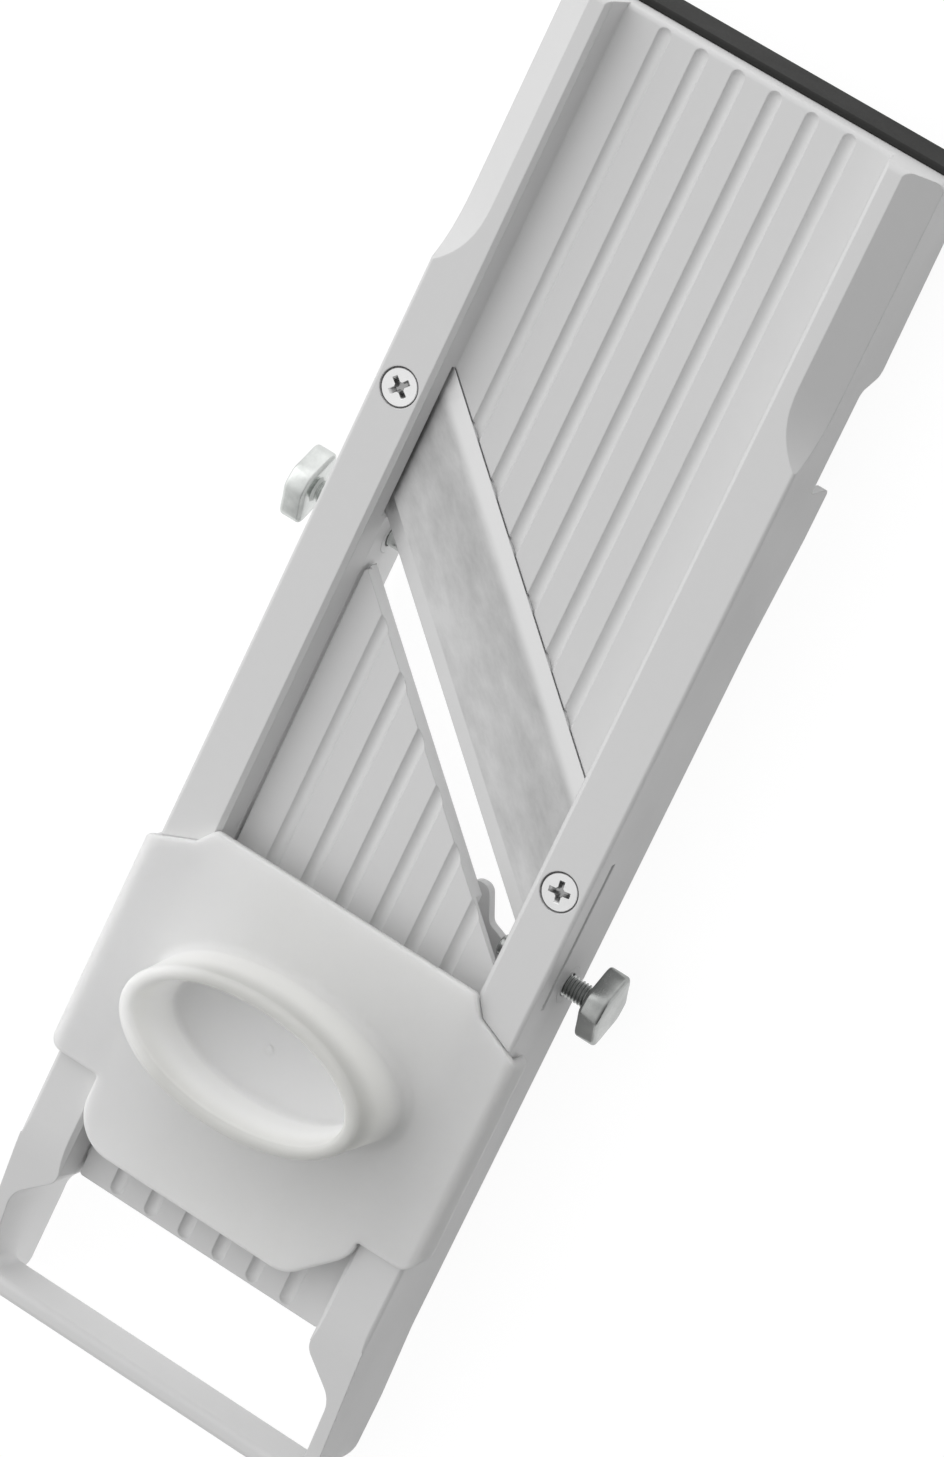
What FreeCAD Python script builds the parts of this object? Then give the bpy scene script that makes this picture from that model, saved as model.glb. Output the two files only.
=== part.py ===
"""Flat plastic vegetable slicer with an adjustable infeed plate, a slanted blade and a hand guard.

All sizes are in millimetres. X runs across the body, Y along it (handle end at -Y, rubber foot
at +Y) and Z is up, with the plane the slicer rests on at Z = 0.
"""
import math
import os

import FreeCAD
import Part

V = FreeCAD.Vector

# Body
BODY_WIDTH = 91.0            # over the two rails
BODY_LENGTH = 321.0          # handle bar to rubber foot
RAIL_TOP_Z = 27.0            # rail tops above the resting plane
RAIL_BOTTOM_Z = 2.7
TABLE_DEPTH = 6.9            # table surface below the rail tops
TABLE_THICK = 2.8
CHANNEL_TOP_WIDTH = 67.2     # between the rails at their tops
CHANNEL_LOW_WIDTH = 64.8     # between the rails at the table
WALL_INNER = 3.2
WALL_OUTER = 2.2
RAIL_ROOF = 2.5
RAIL_CELLS = 6               # hollows along the plain part of each rail
WEB = 1.6                    # cross webs between the hollows
RIB_DROP = 5.1               # stiffening ribs below the table
RIB = 1.8
EDGE_ROUND = 0.9
CORNER_ROUND = 2.0
END_WALL = 5.0
END_BOTTOM_Z = 5.6
END_ROUND = 1.6
HOLLOW_ROUND = 0.8
TABLE_CORNER = 0.5
TABLE_END_ROUND = 1.2
RIB_NOTCH_GAP = 5.4          # ribs beside the bowl notch

# Finger facets on the outer rail edges beside the fixed table
FACET_ACROSS = 7.5
FACET_DOWN = 5.7
FACET_LENGTH = 68.0          # from the foot end to where the facet has run out
FACET_FADE = 19.0            # length over which it runs out
FACET_STEPS = 9
FACET_SWELL = 3.0            # how quickly the facet reaches its full width
FACET_SKIN = 3.0             # wall over the hollow under the facet

# Bowl notch and tooth in the underside
NOTCH_FROM_END = 74.2        # tooth side of the notch from the foot end
NOTCH_LENGTH = 24.2
NOTCH_ROOF_Z = 10.6
NOTCH_RAMP = 3.0
NOTCH_ROUND = 2.5
NOTCH_CORNER = 1.0
TOOTH_LENGTH = 38.0
TOOTH_FLAT = 12.0
TOOTH_LOW_Z = 0.4
TOOTH_ROUND = 1.6
LAND_RISE = 0.8              # underside behind the notch, above the rails' lower edges
SWEEP_ROUND = 20.0           # soft bends of the side outline

# Grooves in the table and the infeed plate
GROOVE_COUNT = 6
GROOVE_PITCH = 9.03
GROOVE_WIDTH = 3.2
GROOVE_DEPTH = 0.9
GROOVE_END_GAP = 0.7         # solid strip left at the foot end

# Blade on its slanted seat
BLADE_SLOPE = 0.96           # fall of the cutting line in Y for each millimetre of X
BLADE_CUT_Y = 6.9            # cutting edge on the centre line
BLADE_LENGTHWISE = 35.2      # blade width measured along Y
BLADE_THICK = 1.0
BLADE_PROUD = 0.3            # blade top above the table
BLADE_BEVEL = 3.2
BLADE_EDGE_THICK = 0.25
BLADE_END_GAP = 0.4          # to the closed end of its passage
BLADE_END_SHORT = 1.1        # blade end inside the open passage
BLADE_REST = 20.1            # part of the width carried by the seat, along Y
SEAT_RIB = 4.2
SEAT_RIB_Z = 12.5
POCKET_GAP = 0.3
SLOT_OVER = 1.5              # free height over the blade in the closed passage
SLOT_OVER_OPEN = 0.6         # the same in the open passage

# Blade fasteners
SCREW_BEHIND = 20.85         # screw line behind the cutting edge, along Y
SCREW_HEAD_R = 4.1
SCREW_HEAD_H = 2.7
SCREW_HEAD_EDGE = 0.8        # straight edge of the head
SCREW_RIM = 0.35             # open ring around the head
SCREW_BORE = 1.3             # straight part of its sink
SCREW_SINK = 0.15            # head top under the rail top
SCREW_R = 2.0
SCREW_OUT = 1.7              # screw end past its nut
CROSS_LENGTH = 4.4
CROSS_WIDTH = 1.0
CROSS_DEPTH = 1.5
CROSS_TURN_LEFT = 50.0
CROSS_TURN_RIGHT = 9.0
SCREW_BOSS_R = 5.6
SCREW_BOSS_H = 7.4           # boss under the blade, above the nut
BLADE_NUT_FLATS = 7.0
BLADE_NUT_H = 3.2
BLADE_NUT_COVER = 1.3        # boss wall below the nut

# Side bolts and their nuts
BOLT_Y = 32.4                # left at +Y, right at -Y
BOLT_DROP = 15.6             # axis below the rail tops
BOLT_R = 3.95
BOLT_SHOW = 6.2              # shank between the rail and the head
BOLT_THREAD = 13.7
BOLT_TIP_R = 2.4
BOLT_TIP = 9.5
BOLT_HEAD_H = 5.3
BOLT_FLATS = 13.0
BOLT_FACE_R = 6.1
BOLT_FACE_H = 0.4
BOLT_HOLE_GAP = 0.35
SIDE_NUT_H = 6.4
CRADLE_WALL = 2.5

# Infeed plate
PLATE_FRONT_GAP = 11.1       # front edge to cutting edge, along Y
PLATE_END_GAP = 2.3          # plate end to the waist of the handle opening
PLATE_GAP = 0.65             # to the rail walls
PLATE_CORNER = 0.8
PLATE_TIP = 0.5
PLATE_GROOVE_GAP = 0.5       # groove tips to the plate's end
PLATE_DROP = 0.45            # below the table at rest
PLATE_THICK = 2.4
PLATE_LIP_H = 5.0
PLATE_LIP = 2.0
PLATE_RIB_X = 18.0
PLATE_RIB_H = 2.2
PLATE_RIB = 1.8
HINGE_INSET = 5.5            # pin axis from the plate's end
HINGE_UNDER = 1.05           # pin axis below the plate
HINGE_R = 2.6
HINGE_WALL = 0.8
HINGE_BLOCK = 8.0
HINGE_GAP = 0.06
HINGE_REACH = 2.9            # pin past the wall face
RELIEF_WIDTH = 10.8          # thinned corner over the right bolt
RELIEF_LENGTH = 9.6
RELIEF_SKIN = 1.0

# Thickness adjuster in a bridge under the plate
BRIDGE_AHEAD = 51.9          # adjuster axis in front of the cutting edge
BRIDGE_DEPTH = 14.0
BRIDGE_WALL = 2.3
DIAL_R = 10.0
DIAL_H = 3.5
DIAL_SIDE_GAP = 2.0
DIAL_GAP = 0.05
DIAL_NOTCHES = 20
DIAL_NOTCH_R = 0.9
INSERT_R = 4.6
STUD_R = 3.0
STUD_FLATS = 5.0
STUD_LOW_Z = 3.3
STUD_DOME_R = 10.0
STUD_HOLE_GAP = 0.3

# Lobed bracket under the right end of the blade gap
LOBE_LOW_Z = 5.0
LOBE_TOP_Z = 8.0
LOBE_REACH = 17.4
LOBE_NOSE_Y = -24.4
LOBE_BACK_Y = -38.5
LOBE_NECK_Y = -31.4
LOBE_NECK_REACH = 9.9
LOBE_NECK_FALL = 3.6         # from the neck down to the rail
LOBE_NOSE = 4.6
LOBE_NOSE_WIDTH = 5.4
LOBE_BACK_REACH = 8.4
LOBE_ROUND = 2.6

# Handle loop
LOOP_DEPTH = 32.2            # handle end to the waist of the opening
FLARE = 8.3                  # length of the widening of the opening
WAIST_ROUND = 4.0
FLARE_ROUND = 7.0
ARM_WALL = 3.3               # at the height of the bar's top
ARM_DRAFT = 1.9              # how much thicker the arms are at the resting plane
BAR_THICK = 4.2
BAR_CORNER = 2.0
BAR_ROUND = 1.5
BAR_TOP_Z = 21.0
BAR_LOW_Z = 8.6
HANDLE_ROUND = 8.5
POST_DEPTH = 20.5            # end posts that reach the resting plane
POST_RAMP = 19.0             # length of the rise from the posts to the rails
POST_ROUND = 3.0
BAR_LEVEL = 9.5              # level top of the bar
DIP_RUN = 29.0               # length of the fall from rail top to bar
DIP_ROUND = 40.0

# Rubber foot
FOOT_TOP_Z = 14.5
FOOT_FACE = 1.5
FOOT_PAD = 9.0
FOOT_TONGUE = 3.0
FOOT_TONGUE_H = 2.6
FOOT_TONGUE_Z = 9.0
FOOT_INSET = 0.2
FOOT_ROUND = 0.6

# Hand guard
GUARD_THICK = 2.0
GUARD_LIFT = 0.05
GUARD_SIDE_GAP = 0.5
GUARD_FLANGE = 2.0
GUARD_FLANGE_DROP = 6.2
GUARD_PARK = 12.7            # stored guard's end to the waist of the handle opening
GUARD_LENGTH = 77.1
GUARD_SHOULDER = 4.3         # sweep of the front edge beside the channel
GUARD_SHOULDER_RUN = 3.2
GUARD_SWEEP = 9.1            # wing corners behind the front edge
GUARD_TONGUE = 15.4
GUARD_OVERLAP = 0.6          # tongue past the rail edges
GUARD_ROUND = 2.4
GUARD_WING_ROUND = 4.0
TONGUE_ROUND = 10.0          # left corner
TONGUE_CUT = 11.5            # slanted right corner
TONGUE_CUT_ROUND = 8.0
KNOB_BACK = 33.15            # grip centre behind the front edge
KNOB_LENGTH = 60.0           # rim of the cup-shaped grip
KNOB_WIDTH = 31.7
KNOB_FOOT_LENGTH = 63.2      # grip at the saddle
KNOB_FOOT_WIDTH = 29.4
KNOB_FOOT_ROUND = 2.5
KNOB_HEIGHT = 23.5           # rim above the rail tops
KNOB_RIM = 3.2
KNOB_RIM_ROUND = 1.3
KNOB_WALL = 2.2
CORE_ROUND = 2.0             # hollow under the grip
CUP_DEPTH = 15.9
CUP_LENGTH = 48.0            # floor of the cup
CUP_WIDTH = 23.0
CUP_ROUND = 1.5
GATE_R = 1.1                 # moulding mark in the middle of the floor
GATE_H = 0.2
PRONG_R = 1.1
PRONG_TIP_R = 0.4
PRONG_CLEAR = 1.4            # prong tips above the blade
PRONG_ROWS = 2
PRONG_COLUMNS = 4
PRONG_PITCH_X = 10.0
PRONG_PITCH_Y = 9.0

# Clearances
FIT = 0.05                   # running fits
SEAT = 0.02                  # faces that rest on each other
EPS = 1.0                    # overshoot of cutting solids
LAP = 0.5                    # overlap of solids that are joined

# Derived sizes
SIDES = (-1, 1)
HALF_W = BODY_WIDTH / 2.0
END_Y = BODY_LENGTH / 2.0
FRAME_END_Y = END_Y - FOOT_FACE - SEAT
TOP_HALF = CHANNEL_TOP_WIDTH / 2.0
LOW_HALF = CHANNEL_LOW_WIDTH / 2.0
HOLLOW_IN = LOW_HALF + WALL_INNER
HOLLOW_OUT = HALF_W - WALL_OUTER
ROOF_Z = RAIL_TOP_Z - RAIL_ROOF
TABLE_Z = RAIL_TOP_Z - TABLE_DEPTH
TABLE_LOW_Z = TABLE_Z - TABLE_THICK
FACET_ZERO_Y = END_Y - FACET_LENGTH
FACET_FULL_Y = FACET_ZERO_Y + FACET_FADE
FACET_LEAN = FACET_DOWN / FACET_ACROSS
NOTCH_Y = END_Y - NOTCH_FROM_END
NOTCH_END_Y = NOTCH_Y + NOTCH_LENGTH
LAND_Y = NOTCH_END_Y + NOTCH_RAMP
LAND_Z = RAIL_BOTTOM_Z + LAND_RISE
WAIST_Y = LOOP_DEPTH - END_Y
BLADE_BACK_Y = BLADE_CUT_Y + BLADE_LENGTHWISE
SEAT_FRONT_Y = BLADE_BACK_Y - BLADE_REST
BLADE_TOP_Z = TABLE_Z + BLADE_PROUD
BLADE_LOW_Z = BLADE_TOP_Z - BLADE_THICK
BLADE_X_LEFT = BLADE_END_GAP - HOLLOW_OUT
BLADE_X_RIGHT = HALF_W - BLADE_END_SHORT
SLANT = math.sqrt(1.0 + BLADE_SLOPE ** 2)
SCREW_X = (TOP_HALF + HALF_W) / 2.0
SCREW_LINE_Y = BLADE_CUT_Y + SCREW_BEHIND
NUT_ROOF_Z = BLADE_LOW_Z - SCREW_BOSS_H
NUT_LOW_Z = NUT_ROOF_Z - BLADE_NUT_H
SCREW_LOW_Z = NUT_LOW_Z - SCREW_OUT
BOSS_LOW_Z = NUT_LOW_Z - BLADE_NUT_COVER
BOLT_Z = RAIL_TOP_Z - BOLT_DROP
BOLT_HEAD_X = HALF_W + BOLT_SHOW
BOLT_SHOULDER_X = BOLT_HEAD_X - BOLT_THREAD
BOLT_TIP_X = BOLT_SHOULDER_X - BOLT_TIP
BOLT_CORNER = BOLT_FLATS / math.sqrt(3.0)
PLATE_FRONT_Y = BLADE_CUT_Y - PLATE_FRONT_GAP
PLATE_END_Y = WAIST_Y + PLATE_END_GAP
PLATE_HALF = LOW_HALF - PLATE_GAP
PLATE_TOP_Z = TABLE_Z - PLATE_DROP
PLATE_LOW_Z = PLATE_TOP_Z - PLATE_THICK
HINGE_Y = PLATE_END_Y + HINGE_INSET
HINGE_Z = PLATE_LOW_Z - HINGE_UNDER
BRIDGE_Y = BLADE_CUT_Y - BRIDGE_AHEAD
BRIDGE_FRONT_Y = BRIDGE_Y + BRIDGE_DEPTH / 2.0
BRIDGE_BACK_Y = BRIDGE_Y - BRIDGE_DEPTH / 2.0
WINDOW_LOW_Z = RAIL_BOTTOM_Z + BRIDGE_WALL
DIAL_LOW_Z = WINDOW_LOW_Z + DIAL_GAP
DIAL_TOP_Z = DIAL_LOW_Z + DIAL_H
WINDOW_TOP_Z = DIAL_TOP_Z + DIAL_GAP
BRIDGE_TOP_Z = WINDOW_TOP_Z + BRIDGE_WALL
OPENING_HALF = HALF_W - ARM_WALL
DIP_Y = BAR_LEVEL + DIP_RUN - END_Y
GUARD_LOW_Z = RAIL_TOP_Z + GUARD_LIFT
GUARD_TOP_Z = GUARD_LOW_Z + GUARD_THICK
GUARD_INNER = HALF_W + GUARD_SIDE_GAP
GUARD_HALF = GUARD_INNER + GUARD_FLANGE
GUARD_END_Y = WAIST_Y + GUARD_PARK
GUARD_FRONT_Y = GUARD_END_Y + GUARD_LENGTH
WING_FRONT_Y = GUARD_FRONT_Y - GUARD_SWEEP
WING_END_Y = GUARD_END_Y + GUARD_TONGUE
KNOB_Y = GUARD_FRONT_Y - KNOB_BACK
KNOB_TOP_Z = RAIL_TOP_Z + KNOB_HEIGHT
CUP_Z = KNOB_TOP_Z - CUP_DEPTH
KNOB_ROOF_Z = CUP_Z - KNOB_WALL


def box(x0, x1, y0, y1, z0, z1):
    """Block between two corners, given in either order."""
    low = V(min(x0, x1), min(y0, y1), min(z0, z1))
    return Part.makeBox(abs(x1 - x0), abs(y1 - y0), abs(z1 - z0), low)


def rod_x(x0, x1, y, z, radius):
    """Round bar along X between two places, given in either order."""
    return Part.makeCylinder(radius, abs(x1 - x0), V(min(x0, x1), y, z), V(1, 0, 0))


def rod_y(y0, y1, x, z, radius):
    """Round bar along Y."""
    return Part.makeCylinder(radius, y1 - y0, V(x, y0, z), V(0, 1, 0))


def rod_z(z0, z1, x, y, radius):
    """Round bar along Z."""
    return Part.makeCylinder(radius, z1 - z0, V(x, y, z0), V(0, 0, 1))


def rounded_wire(corners, place):
    """Closed wire through (u, v, radius) corners; a radius of zero keeps the corner sharp."""
    count = len(corners)
    starts = []
    middles = []
    ends = []
    for i, (u, v, radius) in enumerate(corners):
        here = V(u, v, 0)
        before = corners[i - 1]
        after = corners[(i + 1) % count]
        back = (V(before[0], before[1], 0) - here).normalize()
        ahead = (V(after[0], after[1], 0) - here).normalize()
        half = back.getAngle(ahead) / 2.0
        run = radius / math.tan(half)
        bisector = (back + ahead).normalize() if radius > 0 else V(0, 0, 0)
        starts.append(here + back * run)
        middles.append(here + bisector * (radius / math.sin(half) - radius))
        ends.append(here + ahead * run)
    edges = []
    for i, (u, v, radius) in enumerate(corners):
        if radius > 0:
            edges.append(Part.Arc(place(starts[i]), place(middles[i]), place(ends[i])).toShape())
        edges.append(Part.makeLine(place(ends[i]), place(starts[(i + 1) % count])))
    return Part.Wire(edges)


def plan_prism(corners, z0, z1):
    """Prism with its outline in the XY plane."""
    wire = rounded_wire(corners, lambda p: V(p.x, p.y, z0))
    return Part.Face(wire).extrude(V(0, 0, z1 - z0))


def side_prism(corners, x0, x1):
    """Prism with its outline in the YZ plane."""
    wire = rounded_wire(corners, lambda p: V(x0, p.x, p.y))
    return Part.Face(wire).extrude(V(x1 - x0, 0, 0))


def section_prism(corners, y0, y1):
    """Prism with its outline in the XZ plane."""
    wire = rounded_wire(corners, lambda p: V(p.x, y0, p.y))
    return Part.Face(wire).extrude(V(0, y1 - y0, 0))


def mirrored(corners):
    """The same outline on the other side of the centre line, in the order that closes it."""
    return [(-x, y, r) for x, y, r in reversed(corners)]


def edge_round(x, z, side, radius, y0, y1):
    """Solid that rounds the top edge at x of a body lying on the inner side of it."""
    bend = radius * (1.0 - math.sqrt(0.5))
    start = V(x - side * radius, y0, z)
    middle = V(x - side * bend, y0, z - bend)
    end = V(x, y0, z - radius)
    outer = V(x + side * EPS, y0, z + EPS)
    points = [end, V(outer.x, y0, end.z), outer, V(start.x, y0, outer.z), start]
    edges = [Part.Arc(start, middle, end).toShape()]
    edges += [Part.makeLine(a, b) for a, b in zip(points[:-1], points[1:])]
    return Part.Face(Part.Wire(edges)).extrude(V(0, y1 - y0, 0))


def end_round(half, y, z, radius):
    """Solid that rounds the upper edge along X at the +Y end of a body."""
    block = box(-half, half, y - radius, y + EPS, z - radius, z + EPS)
    return block.cut(rod_x(-HALF_W, HALF_W, y - radius, z - radius, radius))


def slanted(y_centre, x):
    """Y of a line parallel to the blade that crosses the centre line at y_centre."""
    return y_centre - BLADE_SLOPE * x


def slant_band(x0, x1, y_front, y_back, z0, z1):
    """Parallelogram prism between two lines parallel to the blade."""
    corners = [
        (x0, slanted(y_front, x0), 0),
        (x1, slanted(y_front, x1), 0),
        (x1, slanted(y_back, x1), 0),
        (x0, slanted(y_back, x0), 0),
    ]
    return plan_prism(corners, z0, z1)


def hexagon(u, v, flats, turn):
    """Corners of a hexagon about (u, v)."""
    radius = flats / math.sqrt(3.0)
    angles = [math.radians(60 * i + turn) for i in range(6)]
    return [(u + radius * math.cos(a), v + radius * math.sin(a), 0) for a in angles]


def hex_x(x0, x1, y, z, flats):
    """Hexagonal bar along X with flats facing +Y and -Y."""
    return side_prism(hexagon(y, z, flats, 30), min(x0, x1), max(x0, x1))


def hex_z(z0, z1, x, y, flats):
    """Hexagonal bar along Z with corners towards +X and -X."""
    return plan_prism(hexagon(x, y, flats, 0), z0, z1)


def fuse_all(first, others):
    """One solid from several that overlap."""
    return first.multiFuse(others).removeSplitter()


def cut_all(first, tools):
    """Take several solids away from one."""
    for tool in tools:
        first = first.cut(tool)
    return first


def screw_places():
    """Side and position of each blade screw."""
    return [(side, side * SCREW_X, slanted(SCREW_LINE_Y, side * SCREW_X)) for side in SIDES]


def bolt_places():
    """Side and Y of each side bolt."""
    return [(-1, BOLT_Y), (1, -BOLT_Y)]


def groove_places():
    """X of each groove, evenly spaced about the centre line."""
    first = -GROOVE_PITCH * (GROOVE_COUNT - 1) / 2.0
    return [first + GROOVE_PITCH * i for i in range(GROOVE_COUNT)]


def groove_tool(x, top_z, tip, far):
    """Round-bottomed groove from its rounded tip to its open end."""
    half = GROOVE_WIDTH / 2.0
    radius = (half ** 2 + GROOVE_DEPTH ** 2) / (2.0 * GROOVE_DEPTH)
    z = top_z - GROOVE_DEPTH + radius
    start = tip + math.copysign(half, far - tip)
    end = Part.makeSphere(radius, V(x, start, z))
    return fuse_all(rod_y(min(start, far), max(start, far), x, z, radius), [end])


def body_profile():
    """Side view of the body: level rails, dipped handle, end posts, tooth and bowl notch."""
    post_y = -END_Y + POST_DEPTH
    return [
        (FRAME_END_Y, RAIL_TOP_Z, END_ROUND),
        (DIP_Y, RAIL_TOP_Z, DIP_ROUND),
        (DIP_Y - DIP_RUN, BAR_TOP_Z, SWEEP_ROUND),
        (-END_Y, BAR_TOP_Z, END_ROUND),
        (-END_Y, 0.0, POST_ROUND),
        (post_y, 0.0, SWEEP_ROUND),
        (post_y + POST_RAMP, RAIL_BOTTOM_Z, SWEEP_ROUND),
        (NOTCH_Y - TOOTH_LENGTH, RAIL_BOTTOM_Z, SWEEP_ROUND),
        (NOTCH_Y - TOOTH_FLAT, TOOTH_LOW_Z, SWEEP_ROUND),
        (NOTCH_Y, TOOTH_LOW_Z, TOOTH_ROUND),
        (NOTCH_Y, NOTCH_ROOF_Z, NOTCH_CORNER),
        (NOTCH_END_Y, NOTCH_ROOF_Z, NOTCH_ROUND),
        (LAND_Y, LAND_Z, NOTCH_ROUND),
        (FRAME_END_Y, END_BOTTOM_Z, 0.0),
    ]


def underside_z(y):
    """Height of the sloping underside between the bowl notch and the foot end."""
    return LAND_Z + (END_BOTTOM_Z - LAND_Z) * (y - LAND_Y) / (FRAME_END_Y - LAND_Y)


def facet_section(side, y, size):
    """Triangle that the facet takes off the rail corner at one place."""
    across = FACET_ACROSS * size
    edge = side * (HALF_W + EPS)
    roof = RAIL_TOP_Z + EPS
    points = [
        V(side * (HALF_W - across - EPS / FACET_LEAN), y, roof),
        V(edge, y, RAIL_TOP_Z - FACET_LEAN * (across + EPS)),
        V(edge, y, roof),
    ]
    return Part.makePolygon(points + [points[0]])


def facet_tools(side):
    """Chamfer of the outer rail edge that swells from nothing in a smooth curve, then runs straight."""
    swell = []
    for i in range(FACET_STEPS + 1):
        t = i / FACET_STEPS
        y = FACET_ZERO_Y + (FACET_FULL_Y - FACET_ZERO_Y) * t
        swell.append(facet_section(side, y, 1.0 - (1.0 - t) ** FACET_SWELL))
    straight = [swell[-1], facet_section(side, FRAME_END_Y + EPS, 1.0)]
    return [Part.makeLoft(swell, True, False), Part.makeLoft(straight, True, True)]


def rail_hollow(side, y0, y1):
    """Space inside a plain rail, open underneath."""
    corners = [
        (side * HOLLOW_IN, -EPS, 0),
        (side * HOLLOW_OUT, -EPS, 0),
        (side * HOLLOW_OUT, ROOF_Z, HOLLOW_ROUND),
        (side * HOLLOW_IN, ROOF_Z, HOLLOW_ROUND),
    ]
    return section_prism(corners, y0, y1)


def facet_hollow(side, y0, y1):
    """Space inside a faceted rail, with a roof that leans like the facet."""
    roof = RAIL_TOP_Z - FACET_SKIN
    corners = [
        (side * HOLLOW_IN, -EPS, 0),
        (side * HOLLOW_OUT, -EPS, 0),
        (side * HOLLOW_OUT, roof - FACET_LEAN * (FACET_ACROSS - WALL_OUTER), HOLLOW_ROUND),
        (side * (HALF_W - FACET_ACROSS), roof, 0),
        (side * HOLLOW_IN, roof, 0),
    ]
    return section_prism(corners, y0, y1)


def rail_hollows():
    """All the hollows of both rails, divided by cross webs."""
    start = HINGE_Y + HINGE_BLOCK
    end = FACET_ZERO_Y - WEB
    cell = (end - start) / RAIL_CELLS
    middle = (FACET_ZERO_Y + FRAME_END_Y - END_WALL) / 2.0
    tools = []
    for side in SIDES:
        for i in range(RAIL_CELLS):
            tools.append(rail_hollow(side, start + cell * i, start + cell * (i + 1) - WEB))
        tools.append(facet_hollow(side, FACET_ZERO_Y - WEB, middle - WEB))
        tools.append(facet_hollow(side, middle, FRAME_END_Y - END_WALL))
    return tools


def channel_tools():
    """Channel above the table, with leaning walls and bevelled rims."""
    walls = [
        (-LOW_HALF, TABLE_Z, TABLE_CORNER),
        (LOW_HALF, TABLE_Z, TABLE_CORNER),
        (TOP_HALF, RAIL_TOP_Z, 0),
        (TOP_HALF, RAIL_TOP_Z + EPS, 0),
        (-TOP_HALF, RAIL_TOP_Z + EPS, 0),
        (-TOP_HALF, RAIL_TOP_Z, 0),
    ]
    rim = TOP_HALF + EDGE_ROUND + EPS
    bevel = [
        (-TOP_HALF, RAIL_TOP_Z - EDGE_ROUND, 0),
        (TOP_HALF, RAIL_TOP_Z - EDGE_ROUND, 0),
        (rim, RAIL_TOP_Z + EPS, 0),
        (-rim, RAIL_TOP_Z + EPS, 0),
    ]
    return [
        section_prism(walls, WAIST_Y - FLARE / 2.0, FRAME_END_Y + EPS),
        section_prism(bevel, WAIST_Y, FRAME_END_Y + EPS),
    ]


def under_tools():
    """Open well under the infeed plate and hollow under the fixed table."""
    well = [
        (-LOW_HALF, WAIST_Y - EPS, 0),
        (LOW_HALF, WAIST_Y - EPS, 0),
        (LOW_HALF, slanted(SEAT_FRONT_Y, LOW_HALF), 0),
        (-LOW_HALF, slanted(SEAT_FRONT_Y, -LOW_HALF), 0),
    ]
    behind = SEAT_FRONT_Y + SEAT_RIB
    hollow = [
        (-LOW_HALF, slanted(behind, -LOW_HALF), CORNER_ROUND),
        (LOW_HALF, slanted(behind, LOW_HALF), CORNER_ROUND),
        (LOW_HALF, FRAME_END_Y - END_WALL, CORNER_ROUND),
        (-LOW_HALF, FRAME_END_Y - END_WALL, CORNER_ROUND),
    ]
    return [
        plan_prism(well, -EPS, TABLE_Z + EPS),
        plan_prism(hollow, -EPS, TABLE_LOW_Z),
        slant_band(-LOW_HALF, LOW_HALF, SEAT_FRONT_Y - EPS, behind + 3 * EPS, -EPS, SEAT_RIB_Z),
    ]


def opening_wire(z, far_y, far_round):
    """Finger opening at one height, between a waist and a far edge; its sides lean with the arms."""
    half = OPENING_HALF - ARM_DRAFT * (1.0 - z / BAR_TOP_Z)
    right = [
        (TOP_HALF, WAIST_Y + 2 * EPS, 0),
        (TOP_HALF, WAIST_Y, WAIST_ROUND),
        (half, WAIST_Y - FLARE, FLARE_ROUND),
        (half, far_y, far_round),
    ]
    return rounded_wire(right + mirrored(right), lambda p: V(p.x, p.y, z))


def handle_tools():
    """Finger opening, which runs out of the end under the bar, and the bar's rounded inner edge."""
    bar_y = -END_Y + BAR_THICK
    above = [opening_wire(z, bar_y, BAR_CORNER) for z in (BAR_LOW_Z, RAIL_TOP_Z + EPS)]
    below = [opening_wire(z, -END_Y - EPS, 0) for z in (-EPS, BAR_LOW_Z)]
    return [
        Part.makeLoft(above, True, True),
        Part.makeLoft(below, True, True),
        end_round(OPENING_HALF, bar_y, BAR_TOP_Z, BAR_ROUND),
    ]


def table_ribs():
    """Cross ribs under the table, beside the bowl notch and near the foot."""
    places = [NOTCH_Y - RIB_NOTCH_GAP, NOTCH_END_Y + RIB_NOTCH_GAP]
    places.append((places[1] + FRAME_END_Y - END_WALL) / 2.0)
    reach = LOW_HALF + LAP
    low = TABLE_LOW_Z - RIB_DROP
    return [box(-reach, reach, y - RIB / 2.0, y + RIB / 2.0, low, TABLE_LOW_Z + LAP) for y in places]


def gap_bracket():
    """Lobed bracket on the right rail, under the end of the blade gap."""
    wall = LOW_HALF + LAP
    nose = LOW_HALF - LOBE_REACH
    lobe = [
        (wall, LOBE_BACK_Y, 0),
        (wall, LOBE_NECK_Y - LOBE_NECK_FALL, 0),
        (wall - LOBE_NECK_REACH, LOBE_NECK_Y, LOBE_ROUND),
        (nose + LOBE_NOSE, LOBE_NOSE_Y, LOBE_ROUND),
        (nose, LOBE_NOSE_Y, LOBE_ROUND),
        (nose, LOBE_NOSE_Y - LOBE_NOSE_WIDTH, LOBE_ROUND),
        (wall - LOBE_BACK_REACH, LOBE_BACK_Y, LOBE_ROUND),
    ]
    return plan_prism(lobe, LOBE_LOW_Z, LOBE_TOP_Z)


def rail_filler(side, y, half, z0, z1):
    """Block that fills a rail's hollow over a stretch of its length."""
    return box(side * (HOLLOW_IN - LAP), side * (HOLLOW_OUT + LAP), y - half, y + half, z0, z1)


def rail_boss(side, x, y, z0):
    """Round screw boss that hangs from the roof of a rail."""
    return rod_z(z0, ROOF_Z + LAP, x, y, SCREW_BOSS_R).common(
        rail_filler(side, y, SCREW_BOSS_R + EPS, z0, RAIL_TOP_Z))


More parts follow.
